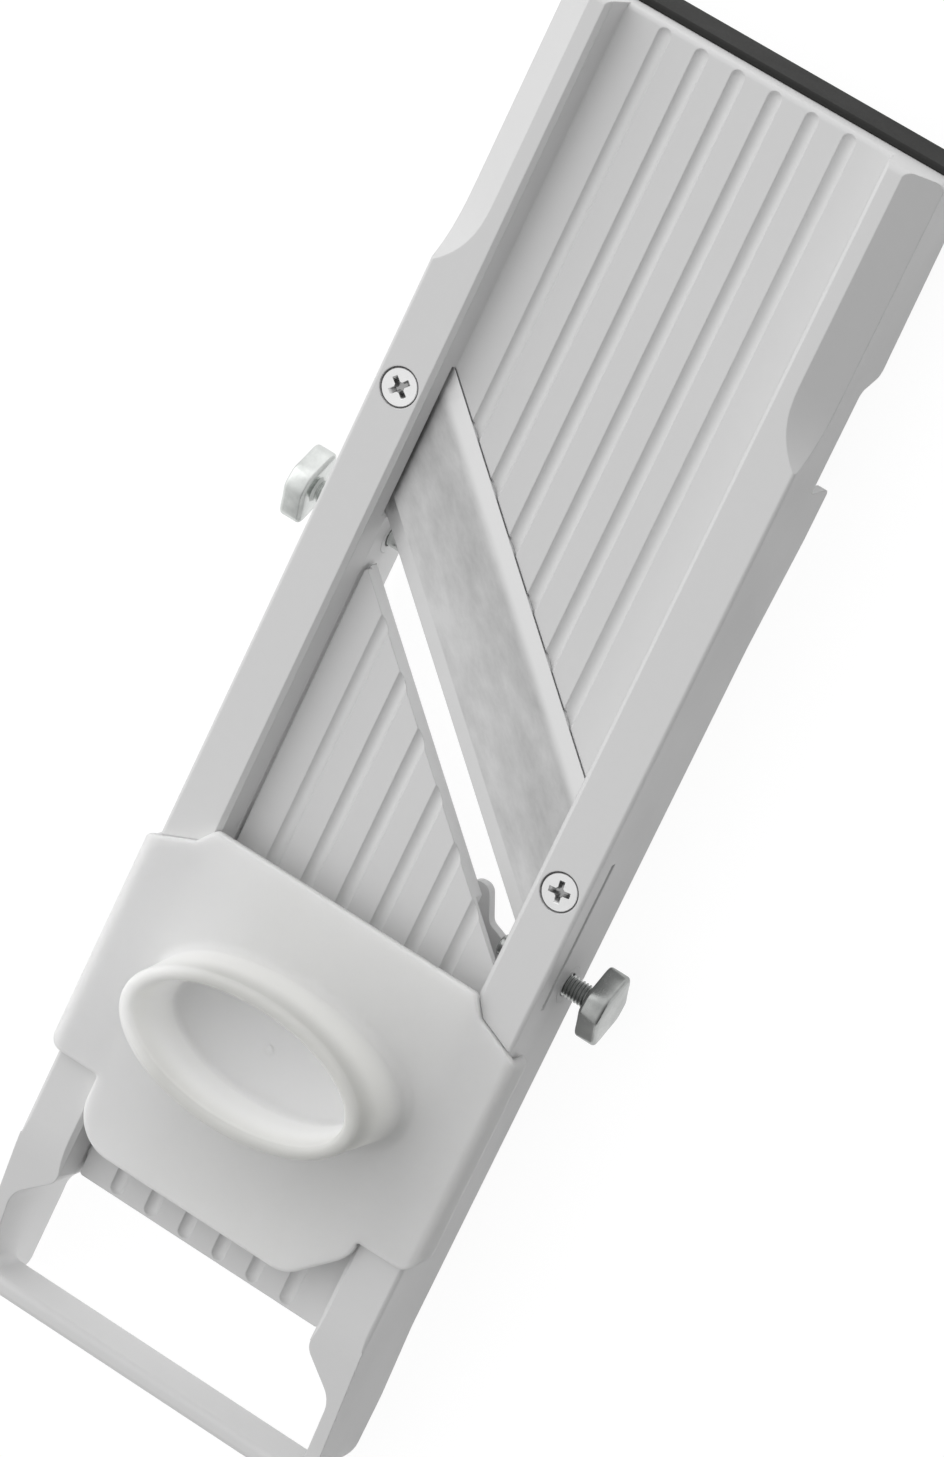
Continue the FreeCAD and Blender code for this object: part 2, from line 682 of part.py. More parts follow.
def blade_tools():
    """Pocket for the blade in the table, closed passage in the left rail and open one in the right."""
    low = BLADE_LOW_Z - SEAT
    front = BLADE_CUT_Y - POCKET_GAP
    back = BLADE_BACK_Y + POCKET_GAP
    closed_end = BLADE_X_LEFT - SEAT
    return [
        slant_band(closed_end, LOW_HALF, front, back, low, BLADE_TOP_Z + SLOT_OVER),
        slant_band(LOW_HALF - EPS, HALF_W + EPS, front, back, low, BLADE_TOP_Z + SLOT_OVER_OPEN),
    ]


def screw_tools():
    """Countersunk holes for the blade screws and pockets for their nuts."""
    tools = []
    sink_r = SCREW_HEAD_R + SCREW_RIM
    bore_z = RAIL_TOP_Z - SCREW_BORE
    cone_z = RAIL_TOP_Z - SCREW_SINK - SCREW_HEAD_H - SCREW_RIM
    for side, x, y in screw_places():
        tools.append(rod_z(-EPS, RAIL_TOP_Z + EPS, x, y, SCREW_R + FIT))
        tools.append(rod_z(bore_z, RAIL_TOP_Z + EPS, x, y, sink_r))
        tools.append(Part.makeCone(SCREW_R + FIT, sink_r, bore_z - cone_z, V(x, y, cone_z), V(0, 0, 1)))
        tools.append(hex_z(-EPS, NUT_ROOF_Z + SEAT, x, y, BLADE_NUT_FLATS + 2 * FIT))
    return tools


def bolt_tools():
    """Holes for the side bolts and drop-in pockets for their nuts."""
    tools = []
    flats = BOLT_FLATS + 2 * FIT
    for side, y in bolt_places():
        inner = side * (HOLLOW_OUT - SIDE_NUT_H - 2 * FIT)
        outer = side * HOLLOW_OUT
        hole_r = BOLT_R + BOLT_HOLE_GAP
        tools.append(rod_x(side * (LOW_HALF - EPS), side * (HALF_W + EPS), y, BOLT_Z, hole_r))
        tools.append(hex_x(inner, outer, y, BOLT_Z, flats))
        tools.append(box(inner, outer, y - flats / 2.0, y + flats / 2.0, -EPS, BOLT_Z))
    return tools


def adjuster_tools():
    """Dial window, stud holes and hinge sockets."""
    window = DIAL_R + DIAL_SIDE_GAP
    flats = STUD_FLATS + 2 * FIT
    tools = [
        box(-window, window, BRIDGE_BACK_Y - EPS, BRIDGE_FRONT_Y + EPS, WINDOW_LOW_Z, WINDOW_TOP_Z),
        rod_z(-EPS, WINDOW_LOW_Z + EPS, 0, BRIDGE_Y, STUD_R + STUD_HOLE_GAP),
        flatted_rod(WINDOW_TOP_Z - EPS, BRIDGE_TOP_Z + EPS, STUD_R + FIT, flats),
    ]
    for side in SIDES:
        end = side * (LOW_HALF + HINGE_REACH + POCKET_GAP)
        tools.append(rod_x(side * (LOW_HALF - EPS), end, HINGE_Y, HINGE_Z, HINGE_R + HINGE_GAP))
    return tools


def flatted_rod(z0, z1, radius, flats):
    """Round bar on the adjuster axis with two flats facing +X and -X."""
    reach = radius + EPS
    slab = box(-flats / 2.0, flats / 2.0, BRIDGE_Y - reach, BRIDGE_Y + reach, z0, z1)
    return rod_z(z0, z1, 0, BRIDGE_Y, radius).common(slab)


def make_frame():
    """Moulded body: hollow rails, grooved table, blade seat, adjuster bridge and handle loop."""
    outline = [
        (-HALF_W, -END_Y, HANDLE_ROUND),
        (HALF_W, -END_Y, HANDLE_ROUND),
        (HALF_W, FRAME_END_Y, CORNER_ROUND),
        (-HALF_W, FRAME_END_Y, CORNER_ROUND),
    ]
    body = plan_prism(outline, -EPS, RAIL_TOP_Z + EPS)
    body = body.common(side_prism(body_profile(), -HALF_W - EPS, HALF_W + EPS))
    for side in SIDES:
        body = cut_all(body, facet_tools(side))
        body = body.cut(edge_round(side * HALF_W, RAIL_TOP_Z, side, EDGE_ROUND, DIP_Y, FACET_ZERO_Y + EPS))
    body = cut_all(body, channel_tools() + under_tools() + handle_tools() + rail_hollows())

    reach = LOW_HALF + LAP
    bridge = box(-reach, reach, BRIDGE_BACK_Y, BRIDGE_FRONT_Y, RAIL_BOTTOM_Z, BRIDGE_TOP_Z)
    added = table_ribs() + [gap_bracket(), bridge]
    added += [rail_boss(side, x, y, BOSS_LOW_Z) for side, x, y in screw_places()]
    cradle = BOLT_FLATS / 2.0 + CRADLE_WALL
    cradle_top = BOLT_Z + BOLT_CORNER + CRADLE_WALL
    added += [rail_filler(side, y, cradle, RAIL_BOTTOM_Z, cradle_top) for side, y in bolt_places()]
    body = fuse_all(body, added)

    grooves = []
    for x in groove_places():
        grooves.append(groove_tool(x, TABLE_Z, FRAME_END_Y - GROOVE_END_GAP, slanted(SEAT_FRONT_Y, x)))
    table_end = end_round(LOW_HALF, FRAME_END_Y, TABLE_Z, TABLE_END_ROUND)
    body = cut_all(body, blade_tools() + grooves + adjuster_tools() + [table_end])

    clamps = [rail_boss(side, x, y, BLADE_TOP_Z + SEAT) for side, x, y in screw_places()]
    body = fuse_all(body, clamps)
    key = box(-HALF_W - EPS, HALF_W + EPS, FRAME_END_Y - FOOT_TONGUE - SEAT, FRAME_END_Y + EPS,
              FOOT_TONGUE_Z - SEAT, FOOT_TONGUE_Z + FOOT_TONGUE_H + SEAT)
    return cut_all(body, screw_tools() + bolt_tools() + [key])


def make_infeed_plate():
    """Grooved plate with a slanted front wall, hinged on two pins at the handle end."""
    outline = [
        (-PLATE_HALF, PLATE_END_Y, PLATE_CORNER),
        (PLATE_HALF, PLATE_END_Y, PLATE_CORNER),
        (PLATE_HALF, slanted(PLATE_FRONT_Y, PLATE_HALF), PLATE_TIP),
        (-PLATE_HALF, slanted(PLATE_FRONT_Y, -PLATE_HALF), PLATE_TIP),
    ]
    plate = plan_prism(outline, PLATE_LOW_Z, PLATE_TOP_Z)
    lip_back = PLATE_FRONT_Y - PLATE_LIP * SLANT
    relief_x = PLATE_HALF - RELIEF_WIDTH
    relief_y = slanted(PLATE_FRONT_Y, PLATE_HALF) - RELIEF_LENGTH
    lip_end = relief_x + EPS
    lip_low = PLATE_TOP_Z - PLATE_LIP_H
    into = PLATE_LOW_Z + LAP
    added = [slant_band(-PLATE_HALF, lip_end, lip_back, PLATE_FRONT_Y, lip_low, into)]
    for x in (-PLATE_RIB_X, PLATE_RIB_X):
        added.append(box(x - PLATE_RIB / 2.0, x + PLATE_RIB / 2.0, HINGE_Y, slanted(lip_back, x) + EPS,
                         PLATE_LOW_Z - PLATE_RIB_H, into))
    for side in SIDES:
        block = side * (PLATE_HALF - HINGE_BLOCK / 2.0)
        added.append(box(block, side * PLATE_HALF, HINGE_Y - HINGE_BLOCK / 2.0, HINGE_Y + HINGE_BLOCK / 2.0,
                         HINGE_Z - HINGE_R - HINGE_WALL, into))
        added.append(rod_x(block, side * (LOW_HALF + HINGE_REACH), HINGE_Y, HINGE_Z, HINGE_R))
    plate = fuse_all(plate, added)
    tools = []
    for x in groove_places():
        far = slanted(PLATE_FRONT_Y, x) + 2 * GROOVE_WIDTH
        tools.append(groove_tool(x, PLATE_TOP_Z, PLATE_END_Y + PLATE_GROOVE_GAP, far))
    relief_top = PLATE_TOP_Z - GROOVE_DEPTH - RELIEF_SKIN
    tools.append(box(relief_x, PLATE_HALF + EPS, relief_y, slanted(PLATE_FRONT_Y, relief_x) + EPS,
                     PLATE_LOW_Z - PLATE_LIP_H, relief_top))
    return cut_all(plate, tools)


def make_blade():
    """Slanted steel blade with a ground edge towards the handle and two screw holes."""
    blade = slant_band(BLADE_X_LEFT, BLADE_X_RIGHT, BLADE_CUT_Y, BLADE_BACK_Y, BLADE_LOW_Z, BLADE_TOP_Z)
    run = BLADE_BEVEL * SLANT
    drop = BLADE_THICK - BLADE_EDGE_THICK
    wires = []
    for x in (BLADE_X_LEFT - EPS, BLADE_X_RIGHT + EPS):
        edge = slanted(BLADE_CUT_Y, x)
        points = [
            V(x, edge - EPS, BLADE_TOP_Z - drop * (1.0 + EPS / run)),
            V(x, edge + run, BLADE_TOP_Z),
            V(x, edge - EPS, BLADE_TOP_Z),
        ]
        wires.append(Part.makePolygon(points + [points[0]]))
    tools = [Part.makeLoft(wires, True, True)]
    for side, x, y in screw_places():
        tools.append(rod_z(BLADE_LOW_Z - EPS, BLADE_TOP_Z + EPS, x, y, SCREW_R + FIT))
    return cut_all(blade, tools)


def make_blade_screw(x, y, turn):
    """Countersunk cross-head screw."""
    top = RAIL_TOP_Z - SCREW_SINK
    edge_z = top - SCREW_HEAD_EDGE
    cone_z = top - SCREW_HEAD_H
    head = Part.makeCone(SCREW_R, SCREW_HEAD_R, edge_z - cone_z, V(x, y, cone_z), V(0, 0, 1))
    edge = rod_z(edge_z, top, x, y, SCREW_HEAD_R)
    screw = fuse_all(head, [edge, rod_z(SCREW_LOW_Z, cone_z, x, y, SCREW_R)])
    long_half = CROSS_LENGTH / 2.0
    short_half = CROSS_WIDTH / 2.0
    for angle in (turn, turn + 90.0):
        arm = box(-long_half, long_half, -short_half, short_half, -CROSS_DEPTH, EPS)
        arm.rotate(V(0, 0, 0), V(0, 0, 1), angle)
        arm.translate(V(x, y, top))
        screw = screw.cut(arm)
    return screw


def make_blade_nut(x, y):
    """Nut in the rail for a blade screw."""
    nut = hex_z(NUT_LOW_Z, NUT_ROOF_Z, x, y, BLADE_NUT_FLATS)
    return nut.cut(rod_z(0, RAIL_TOP_Z, x, y, SCREW_R + FIT))


def make_side_bolt(side, y):
    """Hexagon bolt with a plain tip, entering from the side of the body."""
    head = hex_x(side * BOLT_HEAD_X, side * (BOLT_HEAD_X + BOLT_HEAD_H), y, BOLT_Z, BOLT_FLATS)
    crown_r = BOLT_FLATS / 2.0 - BOLT_HOLE_GAP
    crown = Part.makeCone(crown_r + BOLT_HEAD_H * math.sqrt(3.0), crown_r, BOLT_HEAD_H,
                          V(side * BOLT_HEAD_X, y, BOLT_Z), V(side, 0, 0))
    head = head.common(crown)
    into = side * (BOLT_HEAD_X + LAP)
    shank = rod_x(side * BOLT_SHOULDER_X, into, y, BOLT_Z, BOLT_R)
    tip = rod_x(side * BOLT_TIP_X, side * (BOLT_SHOULDER_X + LAP), y, BOLT_Z, BOLT_TIP_R)
    face = rod_x(side * (BOLT_HEAD_X - BOLT_FACE_H), into, y, BOLT_Z, BOLT_FACE_R)
    return fuse_all(head, [shank, tip, face])


def make_side_nut(side, y):
    """Nut held in the rail for a side bolt."""
    inner = side * (HOLLOW_OUT - SIDE_NUT_H - FIT)
    outer = side * (HOLLOW_OUT - FIT)
    nut = hex_x(inner, outer, y, BOLT_Z, BOLT_FLATS)
    return nut.cut(rod_x(inner - side * EPS, outer + side * EPS, y, BOLT_Z, BOLT_R + FIT))


def make_adjust_dial():
    """Notched thumb wheel held in the bridge window."""
    dial = rod_z(DIAL_LOW_Z, DIAL_TOP_Z, 0, BRIDGE_Y, DIAL_R)
    tools = [rod_z(DIAL_LOW_Z - EPS, DIAL_TOP_Z + EPS, 0, BRIDGE_Y, INSERT_R + SEAT)]
    for i in range(DIAL_NOTCHES):
        angle = 2.0 * math.pi * i / DIAL_NOTCHES
        x = DIAL_R * math.cos(angle)
        y = BRIDGE_Y + DIAL_R * math.sin(angle)
        tools.append(rod_z(DIAL_LOW_Z - EPS, DIAL_TOP_Z + EPS, x, y, DIAL_NOTCH_R))
    return cut_all(dial, tools)


def make_dial_insert():
    """Threaded metal bush in the thumb wheel."""
    bush = rod_z(DIAL_LOW_Z, DIAL_TOP_Z, 0, BRIDGE_Y, INSERT_R)
    return bush.cut(rod_z(DIAL_LOW_Z - EPS, DIAL_TOP_Z + EPS, 0, BRIDGE_Y, STUD_R + FIT))


def make_lift_stud():
    """Domed stud that the thumb wheel drives against the plate; its flats keep it from turning."""
    top = PLATE_LOW_Z - SEAT
    dome = Part.makeSphere(STUD_DOME_R, V(0, BRIDGE_Y, top - STUD_DOME_R))
    stud = flatted_rod(STUD_LOW_Z, top + EPS, STUD_R, STUD_FLATS)
    return stud.common(fuse_all(dome, [rod_z(STUD_LOW_Z, top - STUD_DOME_R / 2.0, 0, BRIDGE_Y, STUD_R)]))


def make_rubber_foot():
    """Rubber strip around the lower edge of the foot end, keyed into a groove."""
    face_y = FRAME_END_Y + SEAT
    pad_y = FRAME_END_Y - FOOT_PAD
    half = HALF_W - FOOT_INSET
    profile = [
        (pad_y, 0, FOOT_ROUND),
        (END_Y, 0, FOOT_ROUND),
        (END_Y, FOOT_TOP_Z, FOOT_ROUND),
        (face_y, FOOT_TOP_Z, 0),
        (face_y, FOOT_TONGUE_Z + FOOT_TONGUE_H, 0),
        (FRAME_END_Y - FOOT_TONGUE, FOOT_TONGUE_Z + FOOT_TONGUE_H, 0),
        (FRAME_END_Y - FOOT_TONGUE, FOOT_TONGUE_Z, 0),
        (face_y, FOOT_TONGUE_Z, 0),
        (face_y, END_BOTTOM_Z - SEAT, 0),
        (pad_y, underside_z(pad_y) - SEAT, 0),
    ]
    return side_prism(profile, -half, half)


def oval_block(low, high):
    """Block between two level ellipses, each given by its length, width and height."""
    wires = []
    for length, width, z in (low, high):
        curve = Part.Ellipse(V(0, KNOB_Y, z), length / 2.0, width / 2.0)
        wires.append(Part.Wire([curve.toShape()]))
    return Part.makeLoft(wires, True, True)


def level_fillet(solid, z, radius):
    """Round the edges around the grip that lie in one level plane."""
    reach = KNOB_WIDTH / 2.0
    edges = []
    for edge in solid.Edges:
        limits = edge.BoundBox
        level = abs(limits.ZMin - z) < FIT and abs(limits.ZMax - z) < FIT
        if level and limits.YMin > KNOB_Y - reach - FIT and limits.YMax < KNOB_Y + reach + FIT:
            edges.append(edge)
    return solid.makeFillet(radius, edges)


def make_grip():
    """Oval cup to hold with the finger tips, with a rounded rim and a moulding mark on its floor."""
    foot = (KNOB_FOOT_LENGTH, KNOB_FOOT_WIDTH, GUARD_LOW_Z)
    grip = oval_block(foot, (KNOB_LENGTH, KNOB_WIDTH, KNOB_TOP_Z))
    mouth = (KNOB_LENGTH - 2 * KNOB_RIM, KNOB_WIDTH - 2 * KNOB_RIM, KNOB_TOP_Z)
    grip = grip.cut(oval_block((CUP_LENGTH, CUP_WIDTH, CUP_Z), mouth))
    grip = level_fillet(grip, KNOB_TOP_Z, KNOB_RIM_ROUND)
    grip = level_fillet(grip, CUP_Z, CUP_ROUND)
    return fuse_all(grip, [rod_z(CUP_Z - LAP, CUP_Z + GATE_H, 0, KNOB_Y, GATE_R)])


def guard_prongs():
    """Rows of tapered prongs that hang under the floor of the grip to hold the food."""
    root = KNOB_ROOF_Z + LAP
    length = root - BLADE_TOP_Z - PRONG_CLEAR
    prongs = []
    for row in range(PRONG_ROWS):
        for column in range(PRONG_COLUMNS):
            x = (column - (PRONG_COLUMNS - 1) / 2.0) * PRONG_PITCH_X
            y = KNOB_Y + (row - (PRONG_ROWS - 1) / 2.0) * PRONG_PITCH_Y
            prongs.append(Part.makeCone(PRONG_R, PRONG_TIP_R, length, V(x, y, root), V(0, 0, -1)))
    return prongs


def make_hand_guard():
    """Saddle that rides on the rails: flanged wings, a tongue and a cup-shaped grip over prongs."""
    tongue = TOP_HALF + GUARD_OVERLAP
    wing = [
        (GUARD_HALF, WING_FRONT_Y, CORNER_ROUND),
        (GUARD_HALF, WING_END_Y, GUARD_WING_ROUND),
    ]
    right = [
        (TOP_HALF, GUARD_FRONT_Y, CORNER_ROUND),
        (TOP_HALF + GUARD_SHOULDER_RUN, GUARD_FRONT_Y - GUARD_SHOULDER, EDGE_ROUND),
    ]
    right += wing
    right += [(tongue, WING_END_Y, EDGE_ROUND)]
    end = [
        (tongue, GUARD_END_Y + TONGUE_CUT, TONGUE_CUT_ROUND),
        (tongue - TONGUE_CUT, GUARD_END_Y, TONGUE_CUT_ROUND),
        (-tongue, GUARD_END_Y, TONGUE_ROUND),
    ]
    saddle = plan_prism(right + end + mirrored(right), GUARD_LOW_Z, GUARD_TOP_Z)
    skirt = plan_prism(wing + mirrored(wing), RAIL_TOP_Z - GUARD_FLANGE_DROP, GUARD_LOW_Z + LAP)
    skirt = skirt.cut(box(-GUARD_INNER, GUARD_INNER, GUARD_END_Y, GUARD_FRONT_Y, 0, GUARD_TOP_Z))
    body = fuse_all(saddle, [skirt])
    for side in SIDES:
        edge = side * GUARD_HALF
        body = body.cut(edge_round(edge, GUARD_TOP_Z, side, GUARD_ROUND, GUARD_END_Y, GUARD_FRONT_Y))
    body = level_fillet(fuse_all(body, [make_grip()]), GUARD_TOP_Z, KNOB_FOOT_ROUND)
    length = KNOB_FOOT_LENGTH - 2 * KNOB_WALL
    width = KNOB_FOOT_WIDTH - 2 * KNOB_WALL
    core = oval_block((length, width, GUARD_LOW_Z - EPS), (length, width, KNOB_ROOF_Z))
    body = body.cut(level_fillet(core, KNOB_ROOF_Z, CORE_ROUND))
    return fuse_all(body, guard_prongs())


def build():
    """Every named piece of the slicer."""
    nodes = {
        "frame": make_frame(),
        "infeed_plate": make_infeed_plate(),
        "blade": make_blade(),
        "adjust_dial": make_adjust_dial(),
        "dial_insert": make_dial_insert(),
        "lift_stud": make_lift_stud(),
        "rubber_foot": make_rubber_foot(),
        "hand_guard": make_hand_guard(),
    }
    label = {-1: "left", 1: "right"}
    turn = {-1: CROSS_TURN_LEFT, 1: CROSS_TURN_RIGHT}
    for side, x, y in screw_places():
        nodes["blade_screw_" + label[side]] = make_blade_screw(x, y, turn[side])
        nodes["blade_nut_" + label[side]] = make_blade_nut(x, y)
    for side, y in bolt_places():
        nodes["side_bolt_" + label[side]] = make_side_bolt(side, y)
        nodes["side_nut_" + label[side]] = make_side_nut(side, y)
    return nodes


def main():
    """Write one file for each piece."""
    os.makedirs("parts", exist_ok=True)
    for name, shape in sorted(build().items()):
        solids = shape.Solids
        print(name, "valid", shape.isValid(), "solids", len(solids), "volume", round(shape.Volume, 1))
        solids[0].exportStep("parts/" + name + ".step")


main()
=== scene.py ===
"""Looks of the vegetable slicer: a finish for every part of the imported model, wing screws and
cross-head screws in place of the plain ones, and the pale studio in which it stands.

Sizes are in millimetres in the part's own frame and become metres where a mesh is made.
Turns and tilts are in degrees.
"""
import math

import bmesh
import bpy
import numpy as np
from mathutils import Matrix, Vector


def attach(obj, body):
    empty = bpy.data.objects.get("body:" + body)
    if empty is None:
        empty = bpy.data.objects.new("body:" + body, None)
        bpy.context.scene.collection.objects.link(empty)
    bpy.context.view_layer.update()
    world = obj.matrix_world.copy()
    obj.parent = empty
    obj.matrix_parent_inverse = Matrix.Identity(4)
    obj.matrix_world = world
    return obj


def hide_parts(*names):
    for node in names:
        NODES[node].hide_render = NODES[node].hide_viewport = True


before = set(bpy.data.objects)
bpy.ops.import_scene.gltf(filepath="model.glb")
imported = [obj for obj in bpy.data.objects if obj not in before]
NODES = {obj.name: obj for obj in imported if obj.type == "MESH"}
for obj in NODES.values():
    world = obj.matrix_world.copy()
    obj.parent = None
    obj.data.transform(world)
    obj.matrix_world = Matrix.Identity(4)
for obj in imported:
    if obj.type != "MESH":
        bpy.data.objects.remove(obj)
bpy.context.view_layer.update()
MM = 0.001

# Camera at the photograph's angle, for an image of 944 by 1457
IMAGE_LONG = 1457.0
FOCAL_PIXELS = 7186.0
SENSOR = 36.0
AIM = (8.0, 11.5, 30.1)
DISTANCE = 1486.9
AZIMUTH = 47.39
ELEVATION = 64.46
ROLL = -108.69
CLIP_END = 100000.0

# Studio: the floor's glow lights the object from below, fades across X and ends beside the lit wall
FLOOR_SIZE = 9000.0
FLOOR_DROP = 0.2
FLOOR_SEEN_GLOW = 0.92
FLOOR_SEEN_TONE = 0.13
FLOOR_LIT_TONE = 0.6
FLOOR_GLOW_FROM = -46.0
FLOOR_GLOW_TO = 90.0
FLOOR_GLOW_NEAR = 0.85
FLOOR_GLOW_FAR = 0.08
FLOOR_SIDE_FROM = -58.0
FLOOR_SIDE_TO = -46.0
FLOOR_SIDE_SHARE = 0.0
KEY_FROM = (-0.62, 0.42, 0.66)
KEY_DISTANCE = 1700.0
KEY_SIZE = 1500.0
KEY_POWER = 2.0
SKY_FROM = (-0.89, 0.45, 0.0)
SKY_LOW = 0.06
SKY_HIGH = 1.52

# Threads: rows of points for each pitch, plain share of the root, rising share and faded length
ROWS_PER_PITCH = 12
THREAD_ROOT_SHARE = 0.2
THREAD_RISE_SHARE = 0.65
THREAD_FADE = 0.6

# Side screws with winged heads; each side has its direction, place, tilt of the wings, tip and finish
SIDE_SCREWS = {
    "left": (-1, 32.4, -12.0, 22.5, "zinc_plate"),
    # the right screw's darker zinc is painted shade
    "right": (1, -32.4, -7.0, 28.5, "shaded_zinc"),
}
SIDE_Z = 11.4
SIDE_PITCH = 0.8
SIDE_R = 2.6
SIDE_ROOT_R = 2.1
SIDE_TIP_R = 2.45
SIDE_TIP_EDGE = 0.4
SIDE_THREAD_X = 38.0
COLLAR_R = 3.3
COLLAR_H = 0.6
HEAD_X = 51.7
HEAD_H = 5.3
HEAD_ROUND = 0.9
HEAD_ROUND_STEPS = 6
WING_SPAN = 17.0
HUB_HEIGHT = 12.6
FLANK_SPAN = 18.6
FLANK_HEIGHT = 17.6
FLANK_HOLLOW = 0.93
CORNER_POWER = 16.0
LEAST_SHARE = 1e-4

# Rings that close the wide holes in both walls of a rail down to the screw
RING_WALLS = ((32.37, 36.6), (43.5, 45.53))
RING_BORE_R = 2.75
RING_R = 4.3

# Blade screws
SCREW_PLACES = {"left": (-39.55, 65.72, 50.0), "right": (39.55, -10.22, 9.0)}
SCREW_TOP_Z = 26.85
SCREW_LOW_Z = 7.1
SCREW_HEAD_R = 4.1
SCREW_HEAD_H = 2.7
SCREW_HEAD_EDGE = 0.8
SCREW_RIM_EDGE = 0.12
SCREW_TIP_EDGE = 0.3
SCREW_NECK = 0.5
SCREW_R = 2.0
SCREW_ROOT_R = 1.55
SCREW_PITCH = 0.7
CROSS_LENGTH = 5.0
CROSS_WIDTH = 1.22
CROSS_DEPTH = 1.5
CROSS_END_SLOPE = 1.3
CROSS_WALL_SLOPE = 5.0
CROSS_HUB_SHARE = 0.95
CROSS_HUB_SLOPE = 4.0
# Painted shade: the screw's colour darkens from just under its face downwards, which shades the cross
# recess
RECESS_FROM = 0.15
RECESS_TO = 0.8
RECESS_PAINTED_SHADE = (0.38, 0.38, 0.38)

# Blade
BLADE_TURN = 43.83
BLADE_BAND_FROM = 24.8
BLADE_BAND_TO = 27.6
BLADE_BAND_TINT = (0.80, 0.80, 0.80)
# Painted light: the bevel strip along the cutting edge is coloured lighter, in place of its different
# slope to the light
BEVEL_FROM = 8.4
BEVEL_TO = 8.0
BEVEL_PAINTED_LIGHT = (0.66, 0.66, 0.66)

# Guard: its grip is greyer towards the free rim by painted shade, paler on the lit side by painted light
# and lighter inside its cup by a painted glow
RIM_FROM = 40.0
RIM_TO = 49.5
RIM_PAINTED_SHADE = (0.58, 0.58, 0.565)
LIT_SIDE_FROM = -12.0
LIT_SIDE_TO = -28.0
LIT_SIDE_PAINTED_LIGHT = (0.86, 0.86, 0.845)
CUP_Y = -71.65
CUP_HALF_LENGTH = 27.0
CUP_HALF_WIDTH = 12.9
CUP_EDGE = 0.93
CUP_LOW_Z = 33.6
CUP_LOW_FADE = 0.6
CUP_PAINTED_GLOW = (0.97, 0.97, 0.955)

# Meshes: places around a side screw and a blade screw, steps across a face, angle of a sharp edge
AROUND = 168
FACE_AROUND = 240
FACE_STEPS = 90
SHARP_ANGLE = 35.0

# Patterns of the finishes, in repeats for each metre, and how far their parts weigh
SKIN_WAVE_SCALE = 150.0
SKIN_GRAIN_SCALE = 2400.0
SKIN_GRAIN_SHARE = 0.35
BLOTCH_SCALE = 330.0
BLOTCH_SHARE = 0.4
TONE_SPREAD = (0.35, 0.68)
GLOSS_PATCH_SCALE = 55.0
SCUFF_STRETCH = (2100.0, 45.0, 2100.0)
SCUFF_SHARE = 0.35
GLOSS_SPREAD = (0.32, 0.68)
PLASTIC_TONE_SCALE = 18.0
METAL_TONE_SCALE = 60.0
EDGE_SAMPLES = 6


def put(tree, kind, values=None, **settings):
    """Add a node to a tree, with its properties and the values of its sockets."""
    made = tree.nodes.new(kind)
    for name, value in settings.items():
        setattr(made, name, value)
    for name, value in (values or {}).items():
        made.inputs[name].default_value = value
    return made


def join(tree, source, target):
    """Link an output to an input."""
    tree.links.new(source, target)


def grey(tone):
    """Opaque grey of one tone."""
    return (tone, tone, tone, 1.0)


def new_group(name, inputs, outputs):
    """Empty shader group with its sockets; each socket is a name and a kind, and an input a value too."""
    tree = bpy.data.node_groups.new(name, "ShaderNodeTree")
    for label, kind, value in inputs:
        socket = tree.interface.new_socket(label, in_out="INPUT", socket_type=kind)
        if value is not None:
            socket.default_value = value
    for label, kind in outputs:
        tree.interface.new_socket(label, in_out="OUTPUT", socket_type=kind)
    return tree, put(tree, "NodeGroupInput"), put(tree, "NodeGroupOutput")


def noise(tree, vector, scale, detail=2.0, rough=0.5):
    """Noise texture on a vector; returns its factor."""
    made = put(tree, "ShaderNodeTexNoise", {"Scale": scale, "Detail": detail, "Roughness": rough})
    join(tree, vector, made.inputs["Vector"])
    return made.outputs["Fac"]


def weighted(tree, first, second, share):
    """Mix of two factors."""
    made = put(tree, "ShaderNodeMix", data_type="FLOAT")
    made.inputs["Factor"].default_value = share
    join(tree, first, made.inputs["A"])
    join(tree, second, made.inputs["B"])
    return made.outputs["Result"]


def group_mould_skin():
    """Height of a moulded face: slow waves of a few millimetres under a fine grain."""
    tree, start, end = new_group("mould_skin", [("Vector", "NodeSocketVector", None)],
                                 [("Height", "NodeSocketFloat")])
    waves = noise(tree, start.outputs["Vector"], SKIN_WAVE_SCALE, 1.0)
    grain = noise(tree, start.outputs["Vector"], SKIN_GRAIN_SCALE, 3.0, 0.6)
    join(tree, weighted(tree, waves, grain, SKIN_GRAIN_SHARE), end.inputs["Height"])
    return tree


def group_tone_drift():
    """Colour that drifts between two tones in broad patches with small blotches on them."""
    tree, start, end = new_group("tone_drift", [
        ("Vector", "NodeSocketVector", None),
        ("Light", "NodeSocketColor", (0.8, 0.8, 0.8, 1.0)),
        ("Dark", "NodeSocketColor", (0.7, 0.7, 0.7, 1.0)),
        ("Scale", "NodeSocketFloat", 20.0),
    ], [("Color", "NodeSocketColor")])
    broad = put(tree, "ShaderNodeTexNoise", {"Detail": 3.0})
    join(tree, start.outputs["Vector"], broad.inputs["Vector"])
    join(tree, start.outputs["Scale"], broad.inputs["Scale"])
    blotch = noise(tree, start.outputs["Vector"], BLOTCH_SCALE, 4.0, 0.65)
    share = weighted(tree, broad.outputs["Fac"], blotch, BLOTCH_SHARE)
    spread = put(tree, "ShaderNodeMapRange", {"From Min": TONE_SPREAD[0], "From Max": TONE_SPREAD[1]})
    join(tree, share, spread.inputs["Value"])
    tone = put(tree, "ShaderNodeMix", data_type="RGBA")
    join(tree, spread.outputs["Result"], tone.inputs["Factor"])
    join(tree, start.outputs["Light"], tone.inputs["A"])
    join(tree, start.outputs["Dark"], tone.inputs["B"])
    join(tree, tone.outputs["Result"], end.inputs["Color"])
    return tree


